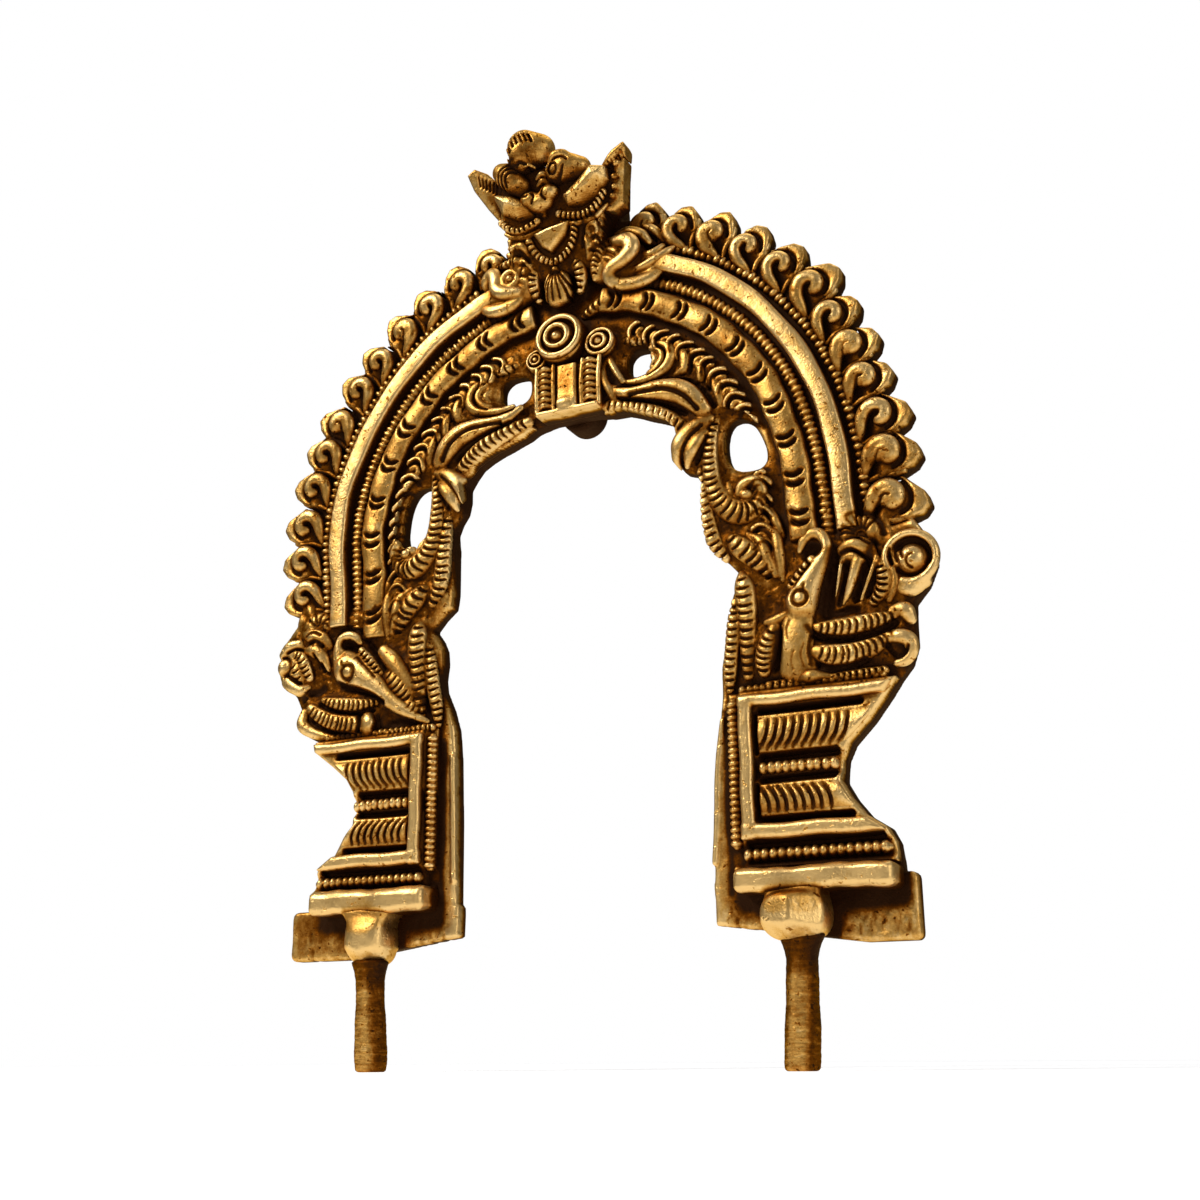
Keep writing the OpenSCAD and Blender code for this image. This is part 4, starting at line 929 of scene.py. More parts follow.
def mask_beard():
    """Ribbed fan under a bead, between two ribbed strips."""
    mid = -1.0
    c = Clay((-6.6, 105.4, UNDER), (5.4, 115, 6.2), 0.15)
    c.stroke([(mid, 112.2, 2.5, 0.9), (mid, 110.6, 2.2, 2.1), (mid, 109.2, 1.6, 2.3)], k=0.3, flat=0.7)
    rib = ((0.6, 111.9), (1.5, 110.5), (2.5, 108.9), (2.9, 107.8))
    for q in (np.arange(6) - 2.5) / 2.5:
        c.cut([(mid + wide * q, z) for wide, z in rib], 0.16, 0.4)
    c.cut(arc(mid, 112.5, 0.85, 0, 360, 14), 0.14, 0.3)
    c.blob((mid, 112.5, 3.1), 0.55, 0.05)
    strip = ((2.6, 113.6, 2.6, 0.6), (3.7, 112.4, 2.6, 0.95), (3.9, 110.6, 2.2, 1), (3.4, 109, 1.5, 0.7))
    for s in (-1, 1):
        c.stroke([(mid + s * x, *rest) for x, *rest in strip], rib=(0.8, 0.4), k=0.2)
        c.cut([(mid + s * x, z) for x, z in ((2.5, 113.2), (2.5, 111.2), (2.9, 109.2))], 0.26, 0.6)
    keep("mask_beard", c)


# Sea-beasts

def makara_lump(s):
    """The rounded wax under the head of a sea-beast."""
    x0, x1 = sorted((s * 3.6, s * 18.4))
    c = Clay((x0, 105.8, UNDER), (x1, 118.8, 6), 0.16, fat=1.14)
    c.blob((s * 9.2, 111.6, 1.3), (4, 3.6, 1.9), 0.1)
    c.blob((s * 6, 112, 1.3), (2.2, 2.8, 1.8), 0.3)
    return c


def makara_right():
    """S-curled trunk, jaw and the slit fin between them."""
    c = makara_lump(1)
    c.stroke([(7.2, 115.4, 2, 0.5), (9, 114.6, 2.8, 0.85), (10.8, 114, 3.2, 1.1),
              (11.5, 112.5, 3.4, 1.15), (10.2, 111.1, 3.4, 1.05), (8.4, 110.4, 3.2, 0.95),
              (7.6, 109.2, 2.8, 0.9), (8.8, 108, 2.4, 0.9), (11.2, 107.6, 2.1, 0.95),
              (13.6, 108.1, 1.8, 0.85), (15.6, 109.4, 1.4, 0.5)], k=0.15, flat=0.75)
    c.stroke([(10.6, 109.6, 2, 0.45), (13, 109.9, 2.2, 0.6), (16, 111.3, 1.8, 0.6),
              (17.2, 112.2, 1.4, 0.3)], k=0.1)
    c.stroke([(12.6, 111.8, 2, 0.4), (14.2, 111.7, 2, 0.55), (15.6, 112.6, 1.7, 0.4)], k=0.1)
    c.stroke([(11.8, 108.9, 1.8, 0.3), (13.8, 109.1, 1.9, 0.4), (15.6, 110.2, 1.6, 0.3)], k=0.1)
    c.stroke([(7.4, 113.8, 2.6, 0.4), (8.6, 113, 3, 0.5), (9.2, 112.2, 3, 0.4)], k=0.1)
    c.stroke([(6.6, 112.6, 2.6, 0.35), (7.8, 112, 2.9, 0.45), (8.6, 111.4, 2.9, 0.35)], k=0.1)
    c.stroke([(5, 110, 1.8, 0.45), (5.4, 111.8, 2.6, 0.7), (6.2, 113.6, 2.8, 0.75),
              (7.4, 115.2, 2.4, 0.5)], rib=(0.7, 0.28), k=0.1)
    c.stroke([(8.4, 116.4, 1.6, 0.4), (10.4, 116.2, 1.9, 0.7), (12.4, 115.2, 2, 0.75),
              (13.6, 113.8, 1.7, 0.45)], k=0.1)
    c.stroke([(10.8, 117.2, 0.9, 0.35), (13, 116.6, 1.3, 0.6), (14.8, 115.2, 1.3, 0.55),
              (15.6, 113.8, 1, 0.3)], k=0.1)
    keep("makara_right", c)


def makara_left():
    """Curled snout, open jaw and ringed eye."""
    c = makara_lump(-1)
    c.stroke([(-13.4, 112.6, 1.4, 0.45), (-13.4, 114, 2, 0.75), (-12, 114.6, 2.5, 0.95),
              (-11.2, 113.2, 2.9, 1), (-11, 111.7, 3, 0.95), (-9.6, 110.7, 3, 1), (-7.6, 110.5, 2.8, 0.8)],
             k=0.15, flat=0.75)
    c.stroke([(-14.4, 110.2, 1.3, 0.5), (-12.8, 109, 1.9, 0.85), (-10.6, 108.5, 2.2, 1),
              (-8.4, 109, 2.2, 0.9), (-6.8, 110.4, 2.2, 0.55)], k=0.15, flat=0.75)
    c.stroke([(-x, *rest) for x, *rest in arc(8.7, 112.8, 1.2, 0, 360, 18, 3, 0.42)], k=0.1)
    c.blob((-8.7, 112.8, 3.1), 0.6, 0.05)
    c.stroke([(-4.4, 112.2, 2.2, 0.5), (-5.4, 113.6, 2.8, 0.8), (-6.9, 114, 3, 0.75),
              (-8.4, 114.8, 2.6, 0.5)], k=0.15, flat=0.75)
    c.stroke([(-5, 110, 1.6, 0.45), (-5.6, 111.6, 2.4, 0.7), (-6.6, 112.2, 2.8, 0.5)], k=0.1)
    c.stroke([(-13.6, 111.4, 1.4, 0.3), (-12.2, 110.4, 2, 0.4), (-10.6, 109.9, 2.3, 0.3)], k=0.1)
    c.stroke([(-5.6, 115.4, 1.8, 0.4), (-7.6, 116, 2, 0.7), (-9.6, 115.8, 2, 0.7),
              (-11.4, 116, 1.6, 0.45)], rib=(0.8, 0.25), k=0.1)
    keep("makara_left", c)


# Birds

def bird_head_right():
    c = Clay((27.4, 45.6, UNDER), (38.4, 68, 4.6), 0.15, fat=1.25)
    # head that narrows upwards into a crest and loops back
    c.stroke([(32.6, 57, 1.2, 1.75), (33.4, 58.9, 1.3, 1.5), (34.5, 60.6, 1.4, 1.15),
              (35.6, 62.4, 1.5, 0.85), (36.1, 64, 1.5, 0.7), (35.6, 65.4, 1.4, 0.66),
              (34.4, 65.9, 1.4, 0.64), (33.3, 65.2, 1.3, 0.62), (32.8, 63.9, 1.2, 0.5)], k=0.2, flat=0.75)
    c.cut([(33.6, 63.4), (34.3, 63.9), (34.9, 63.6)], 0.7, 1.2, ink=VOID)
    # eye
    c.cut(arc(32.6, 57.25, 1, 0, 360, 18), 0.26, 0.5)
    c.cut([(32.9, 58), (33.3, 58.9)], 0.2, 0.3)
    c.blob((32.5, 57.2, 2.3), (0.5, 0.5, 0.45), 0.1)
    # bead row in front of the crest
    c.stroke([(34.2, 62.4, 1.3, 0.5), (32.8, 61, 1.3, 0.55), (31.2, 59.3, 1.2, 0.45)],
             k=0.1, rib=(0.75, 0.4))
    c.cut([(34, 61.6), (32.9, 60.3), (31.8, 58.9)], 0.2, 0.4)
    # breast
    c.stroke([(32.4, 55.6, 1.1, 1.4), (31.9, 53.2, 1.1, 1.6), (31.6, 50.8, 0.9, 1.8),
              (31.8, 48.4, 0.5, 1.9)], k=0.8, flat=0.5)
    c.stroke([(30.8, 54.6, 0.9, 1), (30.6, 51.6, 1, 1.1), (30.4, 48.6, 0.6, 1.2)], k=1, flat=0.6)
    c.cut([(33.6, 52.4), (33.2, 50.6), (33.4, 48.6)], 0.2, 0.3, ink=0.7)
    c.cut([(32.7, 51.4), (32.2, 50), (32.5, 48.4)], 0.14, 0.25, ink=0.4)
    c.cut([(30.9, 54.6), (30.4, 53.4), (30.5, 52.2)], 0.14, 0.25, ink=0.4)
    c.cut([(31.4, 50.6), (30.9, 49.4), (31.1, 48.2)], 0.12, 0.2, ink=0.3)
    c.cut([(29.2, 53.2), (29.1, 51.6), (28.7, 49.8), (28.4, 48.9)], 0.5, 1.2, ink=VOID)
    keep("bird_head_right", c, upright=True)


def bird_plumes_right():
    c = Clay((34.4, 53.6, UNDER), (45.8, 69.6, 4), 0.15, fat=1.15)
    # plumes with deep slits between them
    c.stroke([(37.9, 61.6, 1.2, 0.4), (37.5, 59.6, 1.2, 0.4), (36.9, 57.2, 1, 0.32)], k=0.1)
    c.stroke([(40.2, 61.2, 1.4, 0.85), (39.6, 59.4, 1.3, 0.8), (38.6, 57.4, 1.1, 0.55),
              (37.8, 56.2, 0.8, 0.3)], k=0.1, flat=0.85)
    c.stroke([(42.5, 61.4, 1.3, 0.42), (41.5, 59, 1.2, 0.4), (40.2, 56.4, 0.9, 0.3)], k=0.1)
    c.cut([(36.9, 63), (36.5, 60.6), (36, 58), (35.6, 55.6)], 0.75, 1.6, ink=VOID)
    c.cut([(38.75, 61.2), (38.4, 59.6), (37.7, 57.4), (37.2, 56.2)], 0.36, 0.9, ink=VOID)
    c.cut([(42.3, 63.2), (41.5, 61), (40.5, 58.8), (39.5, 56.6)], 0.42, 0.9, ink=VOID)
    c.cut([(43, 60.8), (42.1, 58.8), (41, 56.8)], 0.22, 0.5)
    c.cut([(35.4, 54.9), (37, 55.1), (39.4, 55.3)], 0.35, 0.7, ink=VOID)
    # folded cap over the plumes
    c.stroke([(38.3, 63, 1.3, 0.7), (39.8, 63.5, 1.6, 1), (41.4, 62.8, 1.5, 0.9), (42.2, 61.8, 1.2, 0.5)],
             k=0.2, flat=0.7)
    c.stroke([(38.4, 61.8, 1.3, 0.45), (39.6, 62, 1.5, 0.6), (40.9, 61.4, 1.4, 0.5)], k=0.15)
    c.cut([(38.9, 64.3), (40.4, 64.2), (41.9, 63.2)], 0.2, 0.4)
    c.cut([(38.1, 62.6), (39.7, 62.7), (41.3, 61.4)], 0.2, 0.4)
    # ribbed scallop above the cap
    c.stroke(arc(40.7, 64.7, 1.6, 10, 170, 12), r=1.05, h=1, k=0.2, flat=0.8)
    for a in np.radians(np.linspace(28, 158, 7)):
        ray = [(r, a + 0.08 * r) for r in (0.9, 1.7, 2.5)]
        c.cut([(40.7 + r * math.cos(turn), 64.7 + r * math.sin(turn)) for r, turn in ray], 0.17, 0.35)
    c.cut(arc(40.7, 64.7, 2.95, -5, 120, 10), 0.3, 0.5)
    # ladder next to the tail
    c.stroke([(43, 60.6, 1.2, 0.6), (43.4, 58.7, 1.3, 0.85), (43, 57, 1.2, 0.85), (41.9, 55.8, 1, 0.6)],
             k=0.1, rib=(0.75, 0.5))
    c.stroke([(44.5, 59.6, 1.2, 0.4), (44.7, 57.6, 1.2, 0.5), (43.8, 55.7, 1, 0.4)], k=0.2)
    keep("bird_plumes_right", c, upright=True)


def bird_tail_right():
    c = Clay((42.2, 54, UNDER), (51, 66.4, 3.8), 0.15)
    c.blob((46.8, 60.8, 0.2), (3.4, 3.4, 1.3), 0.1)
    c.stroke(arc(46.8, 60.8, 3.15, -110, 200, 26), r=0.62, h=1.2, k=0.2)
    c.blob((46.9, 60.7, 1), (1.75, 1.75, 1.2), 0.15)
    c.cut(arc(46.9, 60.7, 2.3, -15, 135, 14), 0.36, 0.7, ink=VOID)
    c.cut(arc(46.9, 60.6, 2.1, -150, -20, 12), 0.2, 0.4)
    c.cut(arc(47.3, 60.2, 0.9, 90, 250, 10), 0.15, 0.25)
    for x, z in ((44.2, 61.3), (45, 61.5), (45.8, 61.7)):
        c.cut([(x + 0.15, z + 1), (x - 0.1, z), (x + 0.2, z - 1)], 0.15, 0.3)
    c.stroke([(44.4, 57.4, 0.6, 0.7), (46.4, 56.8, 0.8, 0.95), (48.4, 57.6, 0.6, 0.7)], k=0.5)
    keep("bird_tail_right", c, upright=True)


def bird_feathers_right():
    c = Clay((25.6, 45, UNDER), (48.2, 56.4, 3.6), 0.15, fat=1.2)
    # two ribbed wings, one over the other, with a deep gap between
    c.stroke([(34.3, 53.3, 1.2, 0.6), (36.6, 53, 1.3, 0.95), (39.4, 52.9, 1.4, 1.1),
              (42, 53.2, 1.3, 0.95), (44.2, 53.6, 1.1, 0.5)], k=0.2, flat=0.75, rib=(0.85, 0.35))
    c.stroke([(34.2, 50.2, 1.2, 0.8), (36.4, 49.5, 1.3, 1.25), (39, 49.4, 1.3, 1.3),
              (41.6, 50.1, 1.2, 1), (44, 51.4, 1.1, 0.45)], k=0.2, flat=0.7, rib=(0.82, 0.35))
    c.cut([(33.2, 53.5), (34.2, 52.3), (36.4, 51.5), (38.8, 51.25), (41.2, 51.55), (43.4, 52.2),
           (44.3, 52.7)], 0.34, 0.8, ink=VOID)
    c.cut([(34, 48.6), (36.2, 47.9), (38.6, 47.9), (40.6, 48.5)], 0.22, 0.4)
    # curled leaf at the outer end
    c.stroke([(43.4, 50.8, 1.1, 0.5), (44.8, 50.9, 1.3, 0.8), (46, 50.3, 1.2, 0.8), (46.2, 49, 1.1, 0.7),
              (45.4, 47.9, 1, 0.6), (44.2, 47.6, 0.9, 0.4)], k=0.2, flat=0.8)
    c.cut([(43.2, 50), (43.7, 49), (44.7, 48.4), (45.5, 48.7), (45.9, 49.5)], 0.22, 0.5)
    c.stroke([(44.2, 54.4, 0.9, 0.6), (45.6, 54.2, 1, 0.9), (46.3, 53, 0.9, 0.6)], k=0.3, flat=0.8)
    # bud with its tail and the nicked thread under the wings
    c.stroke([(32.2, 47, 1, 0.6), (33.3, 47.1, 1.2, 0.85), (34.8, 47, 1.1, 0.5), (36.6, 46.7, 0.9, 0.35)],
             k=0.2)
    c.stroke([(36.2, 46.7, 0.9, 0.5), (39.2, 46.8, 1, 0.55), (42.6, 46.9, 0.9, 0.5)], rib=(0.72, 0.4))
    c.stroke([(27.6, 46.7, 0.9, 0.5), (31.2, 46.7, 0.9, 0.5)], rib=(0.72, 0.4))
    # ribbed pod beside the breast and a smooth leaf above it
    c.stroke([(28.7, 54, 1.1, 0.7), (27.9, 52.2, 1.2, 1.15), (27.3, 50, 1.2, 1.15), (27.1, 48.5, 1, 0.7)],
             k=0.2, flat=0.8, rib=(0.82, 0.35))
    c.stroke([(27.6, 54.9, 1, 0.4), (28.9, 55, 1.2, 0.6), (30.4, 55.6, 1.2, 0.5)], k=0.2)
    keep("bird_feathers_right", c, upright=True)


def bird_head_left():
    c = Clay((-42, 44.8, UNDER), (-22, 65, 4.6), 0.15, fat=1.25)
    # head that runs out into a long beak
    c.stroke([(-37.4, 56.6, 1.2, 1.9), (-35.4, 55.6, 1.4, 1.8), (-33, 53.8, 1.5, 1.5),
              (-30.6, 51.8, 1.5, 1.15), (-28.2, 49.9, 1.4, 0.9), (-25.8, 48.4, 1.2, 0.6),
              (-23.6, 47.3, 0.9, 0.3)], k=0.3, flat=0.7)
    c.stroke([(-38.2, 55.6, 1.3, 1), (-38.8, 57.6, 1.4, 0.85), (-39, 59.4, 1.5, 0.75),
              (-38.6, 60.9, 1.5, 0.7), (-37.3, 61.5, 1.5, 0.64), (-36.1, 61.1, 1.4, 0.55),
              (-35.5, 60.2, 1.3, 0.42)], k=0.2, flat=0.8)
    c.stroke([(-38.2, 58.6, 1.1, 0.8), (-36.6, 58.2, 1.2, 0.9), (-35, 57, 1.2, 0.7)], k=0.4, flat=0.7)
    c.cut([(-38, 60.3), (-37, 59.9), (-35.9, 59.3)], 0.5, 1.1, ink=VOID)
    # eye
    c.cut(arc(-36.6, 55.6, 1.1, 0, 360, 18), 0.3, 0.5)
    c.cut([(-37.3, 56.4), (-37.8, 57.3)], 0.2, 0.3)
    c.blob((-36.45, 55.4, 2.3), 0.55, 0.05)
    # bead row along the brow, dark on both sides
    c.stroke([(-35.1, 59, 1.2, 0.5), (-33.4, 57.3, 1.3, 0.55), (-31.6, 55.2, 1.2, 0.45)],
             k=0.1, rib=(0.75, 0.4))
    c.cut([(-34, 59.8), (-32.2, 57.6), (-30.2, 55.2)], 0.3, 0.6, ink=VOID)
    c.cut([(-35.4, 57.9), (-33.6, 56.2), (-31.9, 54.4)], 0.16, 0.3)
    c.cut([(-39.9, 60.6), (-39.4, 62), (-38, 62.7), (-36.4, 62.4), (-35, 61.6), (-34.4, 60.4)],
          0.3, 0.6, ink=VOID)
    c.cut([(-38.8, 54.2), (-37.2, 53.5), (-34.8, 52.9), (-32.4, 51.9), (-30.6, 50.7)], 0.34, 0.8, ink=VOID)
    c.cut([(-30.4, 47.4), (-28.4, 47.5), (-26, 47)], 0.5, 1, ink=VOID)
    keep("bird_head_left", c, upright=True)


def bird_plumes_left():
    c = Clay((-47.4, 54, UNDER), (-39.2, 68.4, 4), 0.15, fat=1.2)
    c.stroke([(-45.4, 62.8, 1, 0.6), (-43.8, 62.2, 1.4, 1), (-42.2, 61.6, 1.4, 1), (-41, 60.4, 1.2, 0.6)],
             k=0.2, flat=0.8)
    c.stroke([(-44.9, 60.2, 1.1, 0.7), (-43.4, 60, 1.4, 0.95), (-42, 58.8, 1.3, 0.85),
              (-41.2, 57, 1, 0.5)], k=0.2, flat=0.8)
    c.cut([(-44.9, 62.2), (-43.5, 62.7), (-42.1, 62.1)], 0.2, 0.4)
    c.cut([(-44.7, 60.9), (-43.1, 61.3), (-41.8, 60.5)], 0.25, 0.45)
    c.cut([(-43.3, 59.3), (-42.7, 58.2), (-42.1, 56.9)], 0.25, 0.6)
    c.cut([(-42, 57.8), (-41.3, 56.4)], 0.2, 0.5)
    c.stroke(arc(-43, 63.4, 1.4, 10, 170, 12), r=0.95, h=0.9, k=0.2, flat=0.8)
    for a in np.radians((35, 70, 105, 140)):
        c.cut([(-43.0 + r * math.cos(a), 63.4 + r * math.sin(a)) for r in (0.9, 1.5, 2.2)], 0.16, 0.3)
    c.cut(arc(-41.7, 63.4, 0.5, 0, 270, 8), 0.14, 0.25)
    keep("bird_plumes_left", c, upright=True)


def bird_tail_left():
    c = Clay((-51, 52, UNDER), (-43.4, 63.4, 3.8), 0.15)
    c.blob((-47.3, 58, 0.3), (3.2, 4, 1.5), 0.1)
    c.blob((-49.2, 58.1, 0.9), (1.2, 1.4, 1.1), 0.2)
    c.cut(arc(-49.2, 58.1, 1.5, -80, 100, 8), 0.2, 0.45)
    c.stroke([(-49.7, 60.2, 0.9, 0.7), (-48.4, 61.2, 1.1, 0.9), (-46.6, 61.5, 1.1, 0.7)], k=0.4, flat=0.8)
    c.stroke([(-47.4, 60, 1.1, 0.7), (-45.9, 59.2, 1.3, 1), (-45.1, 57.6, 1.3, 1), (-44.4, 56, 1.1, 0.7)],
             k=0.2, flat=0.75, rib=(0.85, 0.4))
    c.stroke([(-47.6, 58.4, 1.1, 0.6), (-46.8, 57.4, 1.3, 0.85), (-46.3, 56, 1.2, 0.7)],
             k=0.2, flat=0.75, rib=(0.8, 0.4))
    c.stroke([(-48.8, 55.8, 0.8, 0.8), (-47.4, 55, 1, 1), (-45.9, 54.2, 1, 0.9), (-44.8, 54.6, 0.8, 0.5)],
             k=0.4, flat=0.8)
    c.cut([(-48.6, 60.2), (-47, 60.6), (-45.4, 60.2)], 0.18, 0.4)
    c.cut([(-48.4, 56.8), (-47.2, 56), (-46.1, 55.3)], 0.24, 0.5, ink=VOID)
    c.cut([(-44.4, 53.6), (-43, 53.8), (-42.2, 54.2)], 0.42, 0.6, ink=VOID)
    c.cut([(-46, 52.7), (-45.2, 52.9)], 0.28, 0.4)
    keep("bird_tail_left", c, upright=True)


def bird_feathers_left():
    c = Clay((-47.4, 44, UNDER), (-22, 60.6, 3.6), 0.15, fat=1.2)
    c.stroke([(-41.6, 52.2, 1.1, 0.45), (-39.6, 51.5, 1.3, 0.8), (-37, 51, 1.3, 0.95),
              (-34.6, 50.8, 1.2, 0.8), (-32.4, 50.9, 1, 0.4)], k=0.2, flat=0.75, rib=(0.8, 0.35))
    c.cut([(-42.2, 51.6), (-40.4, 50.6), (-38, 49.8), (-35.4, 49.5), (-33, 49.9)], 0.28, 0.7, ink=VOID)
    c.stroke([(-43.8, 51.2, 1.1, 0.7), (-42.2, 50, 1.2, 1), (-40, 48.9, 1.3, 1.1),
              (-37.4, 48.2, 1.3, 1.2), (-35, 47.9, 1.3, 1.15)], k=0.2, flat=0.75, rib=(0.85, 0.35))
    c.cut([(-34.9, 49.1), (-34.5, 48), (-34.9, 46.9)], 0.25, 0.6, ink=VOID)
    c.stroke([(-33.6, 48.8, 1.1, 0.8), (-33.3, 47.8, 1.3, 1.05), (-33.5, 46.8, 1.1, 0.8)], k=0.2, flat=0.8)
    c.cut([(-32.3, 49), (-32.05, 48), (-32.4, 46.9)], 0.2, 0.4)
    c.cut([(-43.6, 49.4), (-41.6, 48), (-39.2, 47), (-36.6, 46.5)], 0.28, 0.7, ink=VOID)
    c.stroke([(-45.2, 50.8, 0.8, 0.6), (-45.3, 49, 1, 0.85), (-43.8, 47.8, 1, 0.75),
              (-41.8, 47, 0.9, 0.6), (-39.6, 46.3, 0.8, 0.5)], k=0.2, flat=0.8)
    c.stroke([(-36.2, 46, 0.9, 0.4), (-34.6, 45.3, 1, 0.5), (-32.8, 45.5, 1, 0.45),
              (-31.6, 46.4, 0.9, 0.35)], k=0.15)
    # smooth bar with two ribbed scoops under it
    c.stroke([(-31.2, 58.4, 1.1, 0.9), (-29.4, 56.6, 1.3, 1.15), (-27.6, 54.2, 1.3, 1.05),
              (-26, 52.2, 1.1, 0.7), (-25.2, 50.8, 0.9, 0.35)], k=0.2, flat=0.75)
    c.stroke([(-30.2, 55, 1.2, 0.6), (-29, 53.8, 1.4, 1.15), (-27.7, 52.2, 1.3, 1.15),
              (-26.6, 50.8, 1.1, 0.6)], k=0.15, flat=0.75, rib=(0.8, 0.4))
    c.stroke([(-27, 50.3, 1.2, 0.5), (-25.8, 49.5, 1.2, 0.7), (-24.6, 49, 1, 0.4)],
             k=0.15, flat=0.8, rib=(0.7, 0.35))
    c.cut([(-25.1, 51.4), (-24.1, 50.2), (-23.2, 48.9)], 0.42, 0.9, ink=VOID)
    c.stroke([(-30.2, 46.1, 0.9, 0.5), (-26.6, 46.1, 1, 0.55), (-22.8, 46.3, 0.9, 0.5)], rib=(0.7, 0.4))
    keep("bird_feathers_left", c, upright=True)


# Pedestals and pegs

# heights of the bead rows and x of the bead column
TOP_ROW = 46.4
MID_ROW = 36.0
LOW_ROW = 25.4
BEAD_COLUMN = 22.6


def ped_wax(x0, z0, x1, z1, h1, v):
    """Grid for a piece of a pedestal, then its x, z and h."""
    c = Clay((x0, z0, UNDER), (x1, z1, h1), v)
    return (c, *c.axes())


def ped_outline(s, x0, X, Z):
    """Signed distance to the waisted outline of the pedestal of side s, from x0 outwards."""
    return poly_sd([(x0, 46.2)] + EDGE[s] + [(x0, 23.8)], X, Z)


def ped_block(s):
    """Block with channels for the bead rows and slots sunk in it."""
    c, X, Z, H = ped_wax(21.2, 23.4, 46.4, 47, 3.2, 0.17)
    rows = 0.9 * np.exp(-((Z - MID_ROW) / 1.3) ** 4) + 1.1 * np.exp(-((Z - LOW_ROW) / 1.2) ** 4)
    low = rows + 0.9 * np.exp(-((X - BEAD_COLUMN) / 0.9) ** 4)
    c.fill(solid(ped_outline(s, 21.9, X, Z), H + low, -5, 1.75, 0.5))
    # height and start of each slot, how far it stops short of the side, its width
    slots = ((43.3, 26.4, 2.8, 0.33), (37.4, 26.4, 1.3, 0.4), (34.6, 26.4, 1, 0.36), (29.5, 26.2, 1.7, 0.34),
             (26.7, 24.4, 1.2, 0.36))
    for z, x0, short, w in slots:
        x1 = edge(s, z) - short
        c.cut([(x0, z), ((x0 + x1) / 2, z + rng.uniform(-0.12, 0.12)), (x1, z + 0.1)], w, 1.9, ink=VOID)
    for z0, z1 in ((29.8, 34), (38, 43)):
        c.cut([(25.75, z0), (25.7, z1)], 0.2, 1.2)
    one_side("ped_block", c, s)


def ped_rail(s):
    """Raised frame along the inner side, the top and the foot of the block."""
    c, X, Z, H = ped_wax(22.4, 25.4, 46.4, 46.4, 3.6, 0.17)
    w = 0.08 * np.sin(X * 0.7) + 0.06 * np.sin(Z * 0.8)
    d = ped_outline(s, 21.9, X, Z) + 0.2
    c.join(solid(box_sd(X + w, Z, 23.6, 25.4, 27.2, 45.3, 0.3), H, -5, 2.75, 0.6))
    for z0, z1, h, r in ((43.9, 45.4, 2.7, 0.6), (27.2, 29.1, 2.75, 0.7)):
        bar = np.maximum(d, box_sd(X, Z + w, 23.6, 60, z0, z1, 0.3))
        c.join(solid(bar, H, -5, h, r), 0.3)
    one_side("ped_rail", c, s)


def ped_flutes(s):
    """Two bulging blocks scored with bowed flutes."""
    c, X, Z, H = ped_wax(25.6, 29.2, 46, 43.8, 3.6, 0.14)
    d = ped_outline(s, 25.8, X, Z) + 0.25
    for z0, z1 in ((38.0, 42.8), (30.1, 34.1)):
        across = (Z - (z0 + z1) / 2) / (z1 - z0) * 2
        block = np.maximum(d, np.maximum(z0 - Z, Z - z1))
        c.join(solid(block, H - 0.7 * (1 - across ** 2), -5, 1.5, 0.4))
    upper = ((0.7, 42.3), (0.75, 41.2), (0.35, 39.7), (-0.6, 38.4))
    lower = ((-0.6, 33.7), (0.1, 32.8), (0.55, 31.6), (0.5, 30.5))
    rest = 1.9 if s > 0 else 1.1
    x = 26.7
    while x < 41:
        for mid, flute in ((40.4, upper), (32.2, lower)):
            if x < edge(s, mid) - rest:
                c.cut([(x + o, z) for o, z in flute], 0.17, 0.9)
        x += 1.16 + rng.uniform(-0.08, 0.08)
    one_side("ped_flutes", c, s)


def ped_beads(s):
    """Three rows and a column of bars on nicked threads."""
    c = ped_wax(21.2, 24, 44.6, 47.6, 3.2, 0.14)[0]
    # start, height and lift of each row, the bar's radii, pitch, gap at the end, play across and up
    rows = ((26.5, MID_ROW, 1.3, (0.58, 0.82, 0.8), 1.02, 0.6, 0.08, 0.08),
            (24.2, LOW_ROW, 1.15, (0.62, 0.84, 0.95), 1.08, 0.8, 0.05, 0),
            (24.0, TOP_ROW, 0.8, (0.52, 0.66, 0.8), 0.92, 1.2, 0.06, 0))
    for x, z, h, radii, pitch, short, play, play_up in rows:
        while x < edge(s, z) - short:
            bar_x = x + rng.uniform(-play, play)
            bar_z = z + rng.uniform(-play_up, play_up) if play_up else z
            c.blob((bar_x, bar_z, h), radii, 0.05)
            x += pitch
    for i in range(22):
        c.blob((BEAD_COLUMN, 27 + 0.84 * i + rng.uniform(-0.05, 0.05), 1), (0.86, 0.46, 0.75), 0.06)
    c.stroke([(BEAD_COLUMN, 26.8), (BEAD_COLUMN, 45)], r=0.62, h=0.75, k=0.06)
    c.stroke([(24, LOW_ROW), (edge(s, LOW_ROW) - 1, LOW_ROW)], r=0.56, h=0.95, k=0.06)
    c.stroke([(26.4, MID_ROW), (edge(s, MID_ROW) - 1, MID_ROW)], r=0.5, h=1, k=0.06)
    one_side("ped_beads", c, s)


